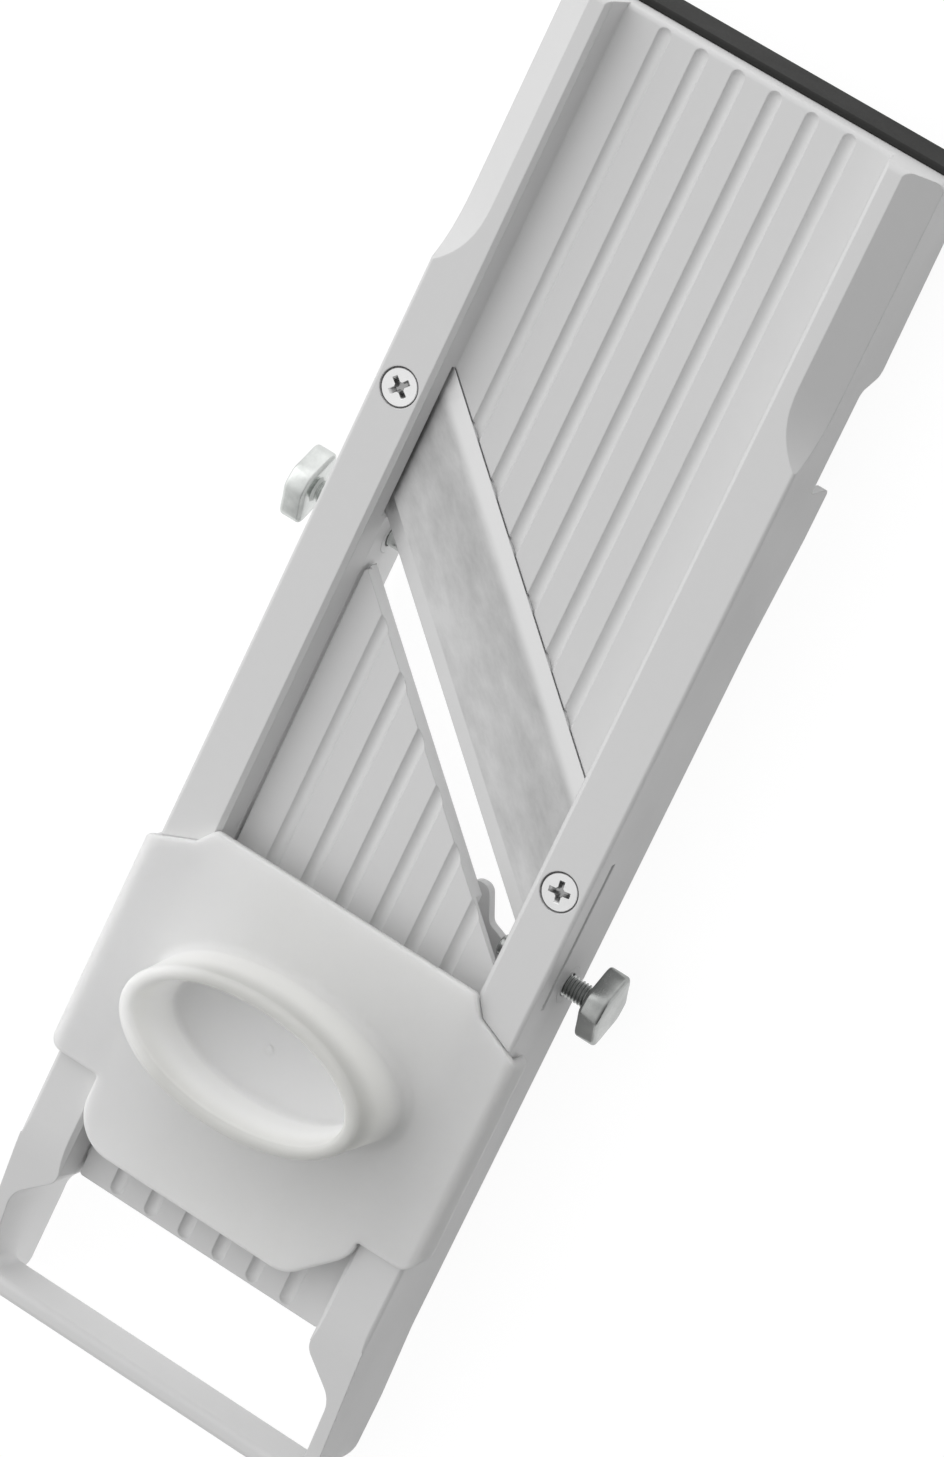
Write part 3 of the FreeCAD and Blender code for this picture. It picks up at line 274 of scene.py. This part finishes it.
def group_gloss_drift():
    """Roughness that drifts between two values, with thin scuffs drawn along the part."""
    tree, start, end = new_group("gloss_drift", [
        ("Vector", "NodeSocketVector", None),
        ("Low", "NodeSocketFloat", 0.3),
        ("High", "NodeSocketFloat", 0.5),
    ], [("Roughness", "NodeSocketFloat")])
    patches = noise(tree, start.outputs["Vector"], GLOSS_PATCH_SCALE, 3.0)
    drawn = put(tree, "ShaderNodeMapping", {"Scale": SCUFF_STRETCH})
    join(tree, start.outputs["Vector"], drawn.inputs["Vector"])
    scuffs = noise(tree, drawn.outputs["Vector"], 1.0, 1.0)
    share = weighted(tree, patches, scuffs, SCUFF_SHARE)
    spread = put(tree, "ShaderNodeMapRange", {"From Min": GLOSS_SPREAD[0], "From Max": GLOSS_SPREAD[1]})
    join(tree, share, spread.inputs["Value"])
    join(tree, start.outputs["Low"], spread.inputs["To Min"])
    join(tree, start.outputs["High"], spread.inputs["To Max"])
    join(tree, spread.outputs["Result"], end.inputs["Roughness"])
    return tree


def group_drawn_lines():
    """Height of fine lines along one direction, as grinding or turning leaves them."""
    tree, start, end = new_group("drawn_lines", [
        ("Vector", "NodeSocketVector", None),
        ("Stretch", "NodeSocketVector", (30.0, 3000.0, 3000.0)),
    ], [("Height", "NodeSocketFloat")])
    drawn = put(tree, "ShaderNodeVectorMath", operation="MULTIPLY")
    join(tree, start.outputs["Vector"], drawn.inputs[0])
    join(tree, start.outputs["Stretch"], drawn.inputs[1])
    join(tree, noise(tree, drawn.outputs["Vector"], 1.0, 3.0, 0.6), end.inputs["Height"])
    return tree


GROUPS = {
    "skin": group_mould_skin(),
    "tone": group_tone_drift(),
    "gloss": group_gloss_drift(),
    "lines": group_drawn_lines(),
}


def use_group(tree, key, vector, values=None):
    """Place a shared group and feed it a vector."""
    made = put(tree, "ShaderNodeGroup")
    made.node_tree = GROUPS[key]
    for name, value in (values or {}).items():
        made.inputs[name].default_value = value
    join(tree, vector, made.inputs["Vector"])
    return made


def new_finish(name, light, dark, low, high, tone_scale, constants, turn=0.0, smear=1.0):
    """Material with drifting tone and gloss; returns it with its tree, shader and pattern vector.
    The pattern is turned about Z, and its tone is drawn out along X by the smear."""
    made = bpy.data.materials.new(name)
    made.use_nodes = True
    tree = made.node_tree
    tree.nodes.clear()
    shader = put(tree, "ShaderNodeBsdfPrincipled", constants)
    output = put(tree, "ShaderNodeOutputMaterial")
    join(tree, shader.outputs["BSDF"], output.inputs["Surface"])
    place = put(tree, "ShaderNodeTexCoord")
    laid = put(tree, "ShaderNodeMapping", {"Rotation": (0.0, 0.0, math.radians(turn))})
    join(tree, place.outputs["Object"], laid.inputs["Vector"])
    vector = laid.outputs["Vector"]
    drawn = put(tree, "ShaderNodeMapping", {"Scale": (1.0 / smear, 1.0, 1.0)})
    join(tree, vector, drawn.inputs["Vector"])
    tone = use_group(tree, "tone", drawn.outputs["Vector"],
                     {"Light": (*light, 1.0), "Dark": (*dark, 1.0), "Scale": tone_scale})
    join(tree, tone.outputs["Color"], shader.inputs["Base Color"])
    gloss = use_group(tree, "gloss", vector, {"Low": low, "High": high})
    join(tree, gloss.outputs["Roughness"], shader.inputs["Roughness"])
    return made, tree, shader, vector


def raise_grain(tree, shader, height, depth, edge):
    """Bump from a height, over edges softened by a small radius."""
    bump = put(tree, "ShaderNodeBump", {"Strength": 1.0, "Distance": depth * MM})
    join(tree, height, bump.inputs["Height"])
    if edge:
        soft = put(tree, "ShaderNodeBevel", {"Radius": edge * MM}, samples=EDGE_SAMPLES)
        join(tree, soft.outputs["Normal"], bump.inputs["Normal"])
    join(tree, bump.outputs["Normal"], shader.inputs["Normal"])


def moulded_plastic(name, light, dark, low, high, depth, edge, constants):
    """Satin moulded plastic."""
    made, tree, shader, vector = new_finish(name, light, dark, low, high, PLASTIC_TONE_SCALE, constants)
    skin = use_group(tree, "skin", vector)
    raise_grain(tree, shader, skin.outputs["Height"], depth, edge)
    return made


def worked_metal(name, light, dark, low, high, stretch, depth, edge, turn=0.0, smear=1.0):
    """Metal with lines left by its working."""
    made, tree, shader, vector = new_finish(name, light, dark, low, high, METAL_TONE_SCALE,
                                            {"Metallic": 1.0}, turn, smear)
    lines = use_group(tree, "lines", vector, {"Stretch": stretch})
    raise_grain(tree, shader, lines.outputs["Height"], depth, edge)
    return made


def lead_colour(tree, share, tint):
    """Lead the base colour of a finish over to a tint by a share."""
    shader = next(node for node in tree.nodes if node.type == "BSDF_PRINCIPLED")
    led = put(tree, "ShaderNodeMix", data_type="RGBA")
    join(tree, share, led.inputs["Factor"])
    join(tree, shader.inputs["Base Color"].links[0].from_socket, led.inputs["A"])
    led.inputs["B"].default_value = (*tint, 1.0)
    join(tree, led.outputs["Result"], shader.inputs["Base Color"])


def tint_along(finish, axis, start, end, tint, turn=0.0):
    """Tint a finish from one place to another along an axis, which may be turned about Z."""
    tree = finish.node_tree
    place = put(tree, "ShaderNodeTexCoord")
    laid = put(tree, "ShaderNodeMapping", {"Rotation": (0.0, 0.0, math.radians(turn))})
    join(tree, place.outputs["Object"], laid.inputs["Vector"])
    parts = put(tree, "ShaderNodeSeparateXYZ")
    join(tree, laid.outputs["Vector"], parts.inputs["Vector"])
    share = put(tree, "ShaderNodeMapRange", {"From Min": start * MM, "From Max": end * MM},
                interpolation_type="SMOOTHSTEP")
    join(tree, parts.outputs[axis], share.inputs["Value"])
    lead_colour(tree, share.outputs["Result"], tint)


def paint_cup_glow(finish):
    """Paint a glow into a finish inside an upright oval, from the floor of the cup upwards: painted light
    that lightens the cup.
    """
    tree = finish.node_tree
    place = put(tree, "ShaderNodeTexCoord")
    oval = put(tree, "ShaderNodeMapping", {
        "Location": (0.0, -CUP_Y / CUP_HALF_WIDTH, 0.0),
        "Scale": (1.0 / (CUP_HALF_LENGTH * MM), 1.0 / (CUP_HALF_WIDTH * MM), 0.0)})
    join(tree, place.outputs["Object"], oval.inputs["Vector"])
    away = put(tree, "ShaderNodeVectorMath", operation="LENGTH")
    join(tree, oval.outputs["Vector"], away.inputs[0])
    inside = put(tree, "ShaderNodeMapRange", {"From Min": 1.0, "From Max": CUP_EDGE})
    join(tree, away.outputs["Value"], inside.inputs["Value"])
    parts = put(tree, "ShaderNodeSeparateXYZ")
    join(tree, place.outputs["Object"], parts.inputs["Vector"])
    above = put(tree, "ShaderNodeMapRange",
                {"From Min": CUP_LOW_Z * MM, "From Max": (CUP_LOW_Z + CUP_LOW_FADE) * MM})
    join(tree, parts.outputs["Z"], above.inputs["Value"])
    share = put(tree, "ShaderNodeMath", operation="MULTIPLY")
    join(tree, inside.outputs["Result"], share.inputs[0])
    join(tree, above.outputs["Result"], share.inputs[1])
    lead_colour(tree, share.outputs["Value"], CUP_PAINTED_GLOW)


# Each finish: light and dark tone, lowest and highest roughness, for metals the stretch of their
# lines, then the depth of the grain and the radius of softened edges
FINISHES = {
    "white_abs": moulded_plastic("white_abs", (0.695, 0.695, 0.695), (0.68, 0.68, 0.68), 0.40, 0.52,
                                 0.015, 0.4, {"IOR": 1.5}),
    "milky_guard": moulded_plastic("milky_guard", (0.80, 0.80, 0.785), (0.78, 0.78, 0.765), 0.52, 0.64,
                                   0.02, 1.2, {"IOR": 1.45, "Subsurface Weight": 1.0,
                                               "Subsurface Radius": (1.0, 1.0, 0.97),
                                               "Subsurface Scale": 0.006}),
    "ground_blade": worked_metal("ground_blade", (0.66, 0.66, 0.66), (0.43, 0.43, 0.43), 0.30, 0.42,
                                 (12.0, 2600.0, 2600.0), 0.0012, 0.15, BLADE_TURN, 2.5),
    "bright_screw": worked_metal("bright_screw", (0.88, 0.88, 0.88), (0.80, 0.80, 0.80), 0.20, 0.30,
                                 (900.0, 900.0, 900.0), 0.002, 0.0),
    "zinc_plate": worked_metal("zinc_plate", (0.78, 0.80, 0.785), (0.56, 0.58, 0.565), 0.14, 0.26,
                               (700.0, 700.0, 700.0), 0.003, 0.25),
    # darker copy of zinc_plate: painted shade for the wing screw on the side turned from the light
    "shaded_zinc": worked_metal("shaded_zinc", (0.46, 0.47, 0.46), (0.28, 0.29, 0.285), 0.16, 0.28,
                              (700.0, 700.0, 700.0), 0.002, 0.25),
    "turned_brass": worked_metal("turned_brass", (0.72, 0.55, 0.27), (0.58, 0.42, 0.19), 0.24, 0.40,
                                 (600.0, 600.0, 4000.0), 0.006, 0.2),
    "dark_rubber": moulded_plastic("dark_rubber", (0.040, 0.040, 0.039), (0.033, 0.033, 0.032), 0.55, 0.70,
                                   0.03, 0.4, {"IOR": 1.12}),
}
tint_along(FINISHES["ground_blade"], "Y", BLADE_BAND_FROM, BLADE_BAND_TO, BLADE_BAND_TINT, BLADE_TURN)
# painted light on the blade's bevel strip
tint_along(FINISHES["ground_blade"], "Y", BEVEL_FROM, BEVEL_TO, BEVEL_PAINTED_LIGHT, BLADE_TURN)
# painted shade: the guard's grip greys towards its free rim
tint_along(FINISHES["milky_guard"], "Z", RIM_FROM, RIM_TO, RIM_PAINTED_SHADE)
# painted light: the guard is paler on its lit side
tint_along(FINISHES["milky_guard"], "X", LIT_SIDE_FROM, LIT_SIDE_TO, LIT_SIDE_PAINTED_LIGHT)
# painted light: a glow painted inside the guard's cup
paint_cup_glow(FINISHES["milky_guard"])
# painted shade in the cross recess of the blade screws
tint_along(FINISHES["bright_screw"], "Z", SCREW_TOP_Z - RECESS_FROM, SCREW_TOP_Z - RECESS_TO, RECESS_PAINTED_SHADE)

NODE_FINISH = {
    "frame": "white_abs",
    "infeed_plate": "white_abs",
    "adjust_dial": "white_abs",
    "hand_guard": "milky_guard",
    "blade": "ground_blade",
    "blade_screw_left": "bright_screw",
    "blade_screw_right": "bright_screw",
    "blade_nut_left": "zinc_plate",
    "blade_nut_right": "zinc_plate",
    "side_nut_left": "zinc_plate",
    "side_nut_right": "zinc_plate",
    "side_bolt_left": "zinc_plate",
    # painted shade: darker zinc on the right bolt
    "side_bolt_right": "shaded_zinc",
    "dial_insert": "turned_brass",
    "lift_stud": "zinc_plate",
    "rubber_foot": "dark_rubber",
}


def finish_node(name):
    """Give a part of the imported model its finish."""
    data = NODES[name].data
    data.materials.clear()
    data.materials.append(FINISHES[NODE_FINISH[name]])


def ring_skin(name, rings, finish):
    """Closed skin over a stack of rings given as an array of ring, place around and x y z in
    millimetres; the first and last rings shrink to the single points at their centres."""
    count, around = rings.shape[:2]
    points = np.vstack([rings[0].mean(0), rings[1:-1].reshape(-1, 3), rings[-1].mean(0)]) * MM
    row = np.arange(around)
    after = (row + 1) % around
    base = 1 + around * np.arange(count - 3)
    sides = band_faces(base, base + around, around)
    last = len(points) - 1
    low = np.stack([np.zeros_like(row), 1 + after, 1 + row], -1)
    top = 1 + around * (count - 3)
    high = np.stack([np.full_like(row, last), top + row, top + after], -1)
    return put_skin(name, points, low.tolist() + sides.tolist() + high.tolist(), finish)


def band_faces(first, second, around):
    """Four-sided faces between pairs of rings, each ring given by the number of its first point."""
    row = np.arange(around)
    after = (row + 1) % around
    first = first[:, None]
    second = second[:, None]
    return np.stack([first + row, first + after, second + after, second + row], -1).reshape(-1, 4)


def put_skin(name, points, faces, finish):
    """Object from points in metres and faces, turned outwards, smooth but for the sharp edges."""
    mesh = bpy.data.meshes.new(name)
    mesh.from_pydata(points.tolist(), [], faces)
    work = bmesh.new()
    work.from_mesh(mesh)
    bmesh.ops.recalc_face_normals(work, faces=work.faces)
    work.to_mesh(mesh)
    work.free()
    mesh.shade_smooth()
    mesh.set_sharp_from_angle(angle=math.radians(SHARP_ANGLE))
    mesh.materials.append(FINISHES[finish])
    made = bpy.data.objects.new(name, mesh)
    bpy.context.scene.collection.objects.link(made)
    return made


def full_turn(places):
    """Angles of evenly spaced places around, as one row."""
    return np.linspace(0.0, 2.0 * np.pi, places, endpoint=False)[None, :]


def turned_rows(profile, angle):
    """Rings of a turned shape from rows of (along, radius)."""
    along = np.array([row[0] for row in profile], float)[:, None] + 0.0 * angle
    radius = np.array([row[1] for row in profile], float)[:, None] + 0.0 * angle
    return along, radius


def thread_rows(start, end, root, crest, pitch, angle):
    """Rings of a screw thread: the radius rises from root to crest and falls again once for each
    pitch along the axis, a full turn of the angle shifting it by one pitch, and fades at both ends."""
    rows = int((end - start) / pitch * ROWS_PER_PITCH)
    along = np.linspace(start, end, rows)[:, None] + 0.0 * angle
    phase = np.mod(along / pitch - angle / (2.0 * np.pi), 1.0)
    height = 1.0 - 2.0 * np.abs(phase - 0.5)
    rise = np.clip((height - THREAD_ROOT_SHARE) / THREAD_RISE_SHARE, 0.0, 1.0)
    edge = np.clip(np.minimum(along - start, end - along) / THREAD_FADE, 0.0, 1.0)
    return along, root + (crest - root) * rise * edge


def rings_about_x(along, radius, angle, y):
    """Points at a radius and angle about the line along X on which a side screw lies."""
    return np.stack([along, y + radius * np.cos(angle), SIDE_Z + radius * np.sin(angle)], -1)


def rounded_least(first, second):
    """Smaller of two distances, with the corner between them rounded by a power mean."""
    return (first ** -CORNER_POWER + second ** -CORNER_POWER) ** (-1.0 / CORNER_POWER)


def winged_reach(angle):
    """Distance from the axis to the side of a winged head: flanks that fall from the hub to the wing ends
    on a slightly hollow diamond, cut by the flat hub above and below and by the two ends."""
    across = np.maximum(np.abs(np.sin(angle)), LEAST_SHARE)
    along = np.maximum(np.abs(np.cos(angle)), LEAST_SHARE)
    fall = (2.0 * along / FLANK_SPAN) ** FLANK_HOLLOW + (2.0 * across / FLANK_HEIGHT) ** FLANK_HOLLOW
    flank = fall ** (-1.0 / FLANK_HOLLOW)
    return rounded_least(rounded_least(flank, WING_SPAN / 2.0 / along), HUB_HEIGHT / 2.0 / across)


def make_side_screw(label, side, y, tilt, tip_x, finish):
    """Wing screw along X: plain tip, thread, collar and a flat winged head whose edges are
    quarter rounds, the outline drawn in at both ends."""
    angle = full_turn(AROUND)
    tip = turned_rows([
        (tip_x, 0.0), (tip_x, SIDE_TIP_R - SIDE_TIP_EDGE), (tip_x + SIDE_TIP_EDGE, SIDE_TIP_R),
        (SIDE_THREAD_X, SIDE_TIP_R),
    ], angle)
    collar_x = HEAD_X - COLLAR_H
    thread = thread_rows(SIDE_THREAD_X, collar_x, SIDE_ROOT_R, SIDE_R, SIDE_PITCH, side * angle)
    collar = turned_rows([(collar_x, SIDE_R), (HEAD_X, COLLAR_R)], angle)
    reach = winged_reach(angle - math.radians(tilt))
    bend = np.linspace(0.0, np.pi / 2.0, HEAD_ROUND_STEPS)[:, None]
    drawn_in = HEAD_ROUND * (1.0 - np.sin(bend))
    rise = HEAD_ROUND * (1.0 - np.cos(bend)) + 0.0 * angle
    low_radius = reach - drawn_in
    crown_x = HEAD_X + HEAD_H
    cap = turned_rows([(crown_x, COLLAR_R), (crown_x, 0.0)], angle)
    along = np.vstack([tip[0], thread[0], collar[0], HEAD_X + rise, crown_x - rise[::-1], cap[0]])
    radius = np.vstack([tip[1], thread[1], collar[1], low_radius, low_radius[::-1], cap[1]])
    made = ring_skin("wing_screw_" + label, rings_about_x(side * along, radius, angle, y), finish)
    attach(made, label + "_bolt")
    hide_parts("side_bolt_" + label)


def make_screw_rings(label, side, y):
    """Two plain rings about a side screw, each an oblong section of four corners carried round."""
    angle = full_turn(AROUND)
    corner = np.arange(4)
    points = []
    faces = []
    for start, end in RING_WALLS:
        section = [(start, RING_BORE_R), (start, RING_R), (end, RING_R), (end, RING_BORE_R)]
        along, radius = turned_rows(section, angle)
        base = len(points) * len(section) * AROUND
        points.append(rings_about_x(side * along, radius, angle, y))
        faces.append(band_faces(base + AROUND * corner, base + AROUND * np.roll(corner, -1), AROUND))
    made = put_skin("screw_rings_" + label, np.vstack(points).reshape(-1, 3) * MM,
                    np.vstack(faces).tolist(), "white_abs")
    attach(made, "body")


def cross_depth(x, y):
    """Depth of a cross recess: two arms with leaning ends and steep walls, deepest where they meet."""
    def arm(u, v):
        from_end = (CROSS_LENGTH / 2.0 - np.abs(u)) * CROSS_END_SLOPE
        from_wall = (CROSS_WIDTH / 2.0 - np.abs(v)) * CROSS_WALL_SLOPE
        return np.minimum(from_end, from_wall)

    middle = (CROSS_WIDTH * CROSS_HUB_SHARE - np.hypot(x, y)) * CROSS_HUB_SLOPE
    return np.clip(np.maximum(np.maximum(arm(x, y), arm(y, x)), middle), 0.0, CROSS_DEPTH)


def make_blade_screw(label, x, y, turn):
    """Countersunk screw along Z: threaded shank, cone, chamfered rim and a face sunk by the cross."""
    angle = full_turn(FACE_AROUND)
    cone_z = SCREW_TOP_Z - SCREW_HEAD_H
    edge_z = SCREW_TOP_Z - SCREW_HEAD_EDGE
    thread_z = SCREW_LOW_Z + SCREW_TIP_EDGE
    tip = turned_rows([(SCREW_LOW_Z, 0.0), (SCREW_LOW_Z, SCREW_ROOT_R - SCREW_TIP_EDGE)], angle)
    thread = thread_rows(thread_z, cone_z - SCREW_NECK, SCREW_ROOT_R, SCREW_R, SCREW_PITCH, angle)
    cone = turned_rows([
        (cone_z, SCREW_R), (edge_z, SCREW_HEAD_R), (SCREW_TOP_Z - SCREW_RIM_EDGE, SCREW_HEAD_R),
    ], angle)
    steps = np.linspace(SCREW_HEAD_R - SCREW_RIM_EDGE, 0.0, FACE_STEPS)[:, None]
    dx = steps * np.cos(angle - math.radians(turn))
    dy = steps * np.sin(angle - math.radians(turn))
    face = (SCREW_TOP_Z - cross_depth(dx, dy), steps + 0.0 * angle)
    along = np.vstack([tip[0], thread[0], cone[0], face[0]])
    radius = np.vstack([tip[1], thread[1], cone[1], face[1]])
    rings = np.stack([x + radius * np.cos(angle), y + radius * np.sin(angle), along], -1)
    made = ring_skin("cross_head_screw_" + label, rings, "bright_screw")
    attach(made, "body")
    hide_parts("blade_screw_" + label)


def ray_is_seen(tree):
    """Factor that is one for rays that reach the camera directly, by gloss or through glass."""
    path = put(tree, "ShaderNodeLightPath")
    first = put(tree, "ShaderNodeMath", operation="MAXIMUM")
    second = put(tree, "ShaderNodeMath", operation="MAXIMUM")
    join(tree, path.outputs["Is Camera Ray"], first.inputs[0])
    join(tree, path.outputs["Is Glossy Ray"], first.inputs[1])
    join(tree, first.outputs["Value"], second.inputs[0])
    join(tree, path.outputs["Is Transmission Ray"], second.inputs[1])
    return second.outputs["Value"]


def make_floor():
    """Pale floor that looks white, keeps a soft shadow and is clear from below; its own glow, which
    lights the object but isn't seen, fades away from the light and ends beside the lit wall."""
    half = FLOOR_SIZE / 2.0 * MM
    drop = -FLOOR_DROP * MM
    corners = [(-half, -half, drop), (half, -half, drop), (half, half, drop), (-half, half, drop)]
    mesh = bpy.data.meshes.new("floor")
    mesh.from_pydata(corners, [], [(0, 1, 2, 3)])
    made = bpy.data.objects.new("floor", mesh)
    bpy.context.scene.collection.objects.link(made)
    paint = bpy.data.materials.new("pale_floor")
    paint.use_nodes = True
    tree = paint.node_tree
    tree.nodes.clear()
    place = put(tree, "ShaderNodeTexCoord")
    parts = put(tree, "ShaderNodeSeparateXYZ")
    join(tree, place.outputs["Object"], parts.inputs["Vector"])
    fade = put(tree, "ShaderNodeMapRange", {
        "From Min": FLOOR_GLOW_FROM * MM, "From Max": FLOOR_GLOW_TO * MM,
        "To Min": FLOOR_GLOW_NEAR, "To Max": FLOOR_GLOW_FAR}, interpolation_type="SMOOTHSTEP")
    join(tree, parts.outputs["X"], fade.inputs["Value"])
    side = put(tree, "ShaderNodeMapRange", {
        "From Min": FLOOR_SIDE_FROM * MM, "From Max": FLOOR_SIDE_TO * MM, "To Min": FLOOR_SIDE_SHARE})
    join(tree, parts.outputs["X"], side.inputs["Value"])
    level = put(tree, "ShaderNodeMath", operation="MULTIPLY")
    join(tree, fade.outputs["Result"], level.inputs[0])
    join(tree, side.outputs["Result"], level.inputs[1])
    below = put(tree, "ShaderNodeEmission")
    join(tree, level.outputs["Value"], below.inputs["Strength"])
    matt = put(tree, "ShaderNodeBsdfDiffuse", {"Color": grey(FLOOR_LIT_TONE)})
    lit = put(tree, "ShaderNodeAddShader")
    join(tree, below.outputs["Emission"], lit.inputs[0])
    join(tree, matt.outputs["BSDF"], lit.inputs[1])
    glow = put(tree, "ShaderNodeEmission", {"Color": grey(1.0), "Strength": FLOOR_SEEN_GLOW})
    shade = put(tree, "ShaderNodeBsdfDiffuse", {"Color": grey(FLOOR_SEEN_TONE)})
    seen = put(tree, "ShaderNodeAddShader")
    join(tree, glow.outputs["Emission"], seen.inputs[0])
    join(tree, shade.outputs["BSDF"], seen.inputs[1])
    choose = put(tree, "ShaderNodeMixShader")
    join(tree, ray_is_seen(tree), choose.inputs["Fac"])
    join(tree, lit.outputs["Shader"], choose.inputs[1])
    join(tree, seen.outputs["Shader"], choose.inputs[2])
    under = put(tree, "ShaderNodeNewGeometry")
    clear = put(tree, "ShaderNodeBsdfTransparent")
    both = put(tree, "ShaderNodeMixShader")
    join(tree, under.outputs["Backfacing"], both.inputs["Fac"])
    join(tree, choose.outputs["Shader"], both.inputs[1])
    join(tree, clear.outputs["BSDF"], both.inputs[2])
    output = put(tree, "ShaderNodeOutputMaterial")
    join(tree, both.outputs["Shader"], output.inputs["Surface"])
    mesh.materials.append(paint)


def make_sky():
    """Soft studio light from all around, rising evenly towards the bright side."""
    world = bpy.data.worlds.new("studio")
    world.use_nodes = True
    tree = world.node_tree
    tree.nodes.clear()
    place = put(tree, "ShaderNodeTexCoord")
    towards = put(tree, "ShaderNodeVectorMath", operation="DOT_PRODUCT")
    join(tree, place.outputs["Generated"], towards.inputs[0])
    towards.inputs[1].default_value = Vector(SKY_FROM).normalized()
    level = put(tree, "ShaderNodeMapRange",
                {"From Min": -1.0, "From Max": 1.0, "To Min": SKY_LOW, "To Max": SKY_HIGH})
    join(tree, towards.outputs["Value"], level.inputs["Value"])
    sky = put(tree, "ShaderNodeBackground", {"Color": grey(1.0)})
    join(tree, level.outputs["Result"], sky.inputs["Strength"])
    output = put(tree, "ShaderNodeOutputWorld")
    join(tree, sky.outputs["Background"], output.inputs["Surface"])
    bpy.context.scene.world = world


def make_key_lamp():
    """Large soft lamp that faces the middle of the object."""
    lamp = bpy.data.lights.new("key_lamp", "AREA")
    lamp.shape = "DISK"
    lamp.size = KEY_SIZE * MM
    lamp.energy = KEY_POWER
    made = bpy.data.objects.new("key_lamp", lamp)
    away = Vector(KEY_FROM).normalized()
    made.location = away * KEY_DISTANCE * MM
    made.rotation_euler = away.to_track_quat("Z", "Y").to_euler()
    bpy.context.scene.collection.objects.link(made)


def make_camera():
    """Camera that looks at a point from an azimuth and elevation and is rolled about its own axis."""
    azimuth = math.radians(AZIMUTH)
    elevation = math.radians(ELEVATION)
    back = Vector((math.cos(elevation) * math.cos(azimuth), math.cos(elevation) * math.sin(azimuth),
                   math.sin(elevation)))
    right = Vector((-math.sin(azimuth), math.cos(azimuth), 0.0))
    level = Matrix((right, back.cross(right), back)).transposed()
    turn = level @ Matrix.Rotation(math.radians(ROLL), 3, "Z")
    lens = bpy.data.cameras.new("camera")
    lens.sensor_width = SENSOR
    lens.lens = SENSOR * FOCAL_PIXELS / IMAGE_LONG
    lens.clip_end = CLIP_END * MM
    made = bpy.data.objects.new("camera", lens)
    made.matrix_world = Matrix.Translation(Vector(AIM) * MM + back * DISTANCE * MM) @ turn.to_4x4()
    bpy.context.scene.collection.objects.link(made)
    bpy.context.scene.camera = made


bpy.context.scene.view_settings.view_transform = "Standard"
make_camera()
for name in NODE_FINISH:
    finish_node(name)
for label, (side, y, tilt, tip_x, finish) in SIDE_SCREWS.items():
    make_side_screw(label, side, y, tilt, tip_x, finish)
    make_screw_rings(label, side, y)
for label, (x, y, turn) in SCREW_PLACES.items():
    make_blade_screw(label, x, y, turn)
make_floor()
make_sky()
make_key_lamp()
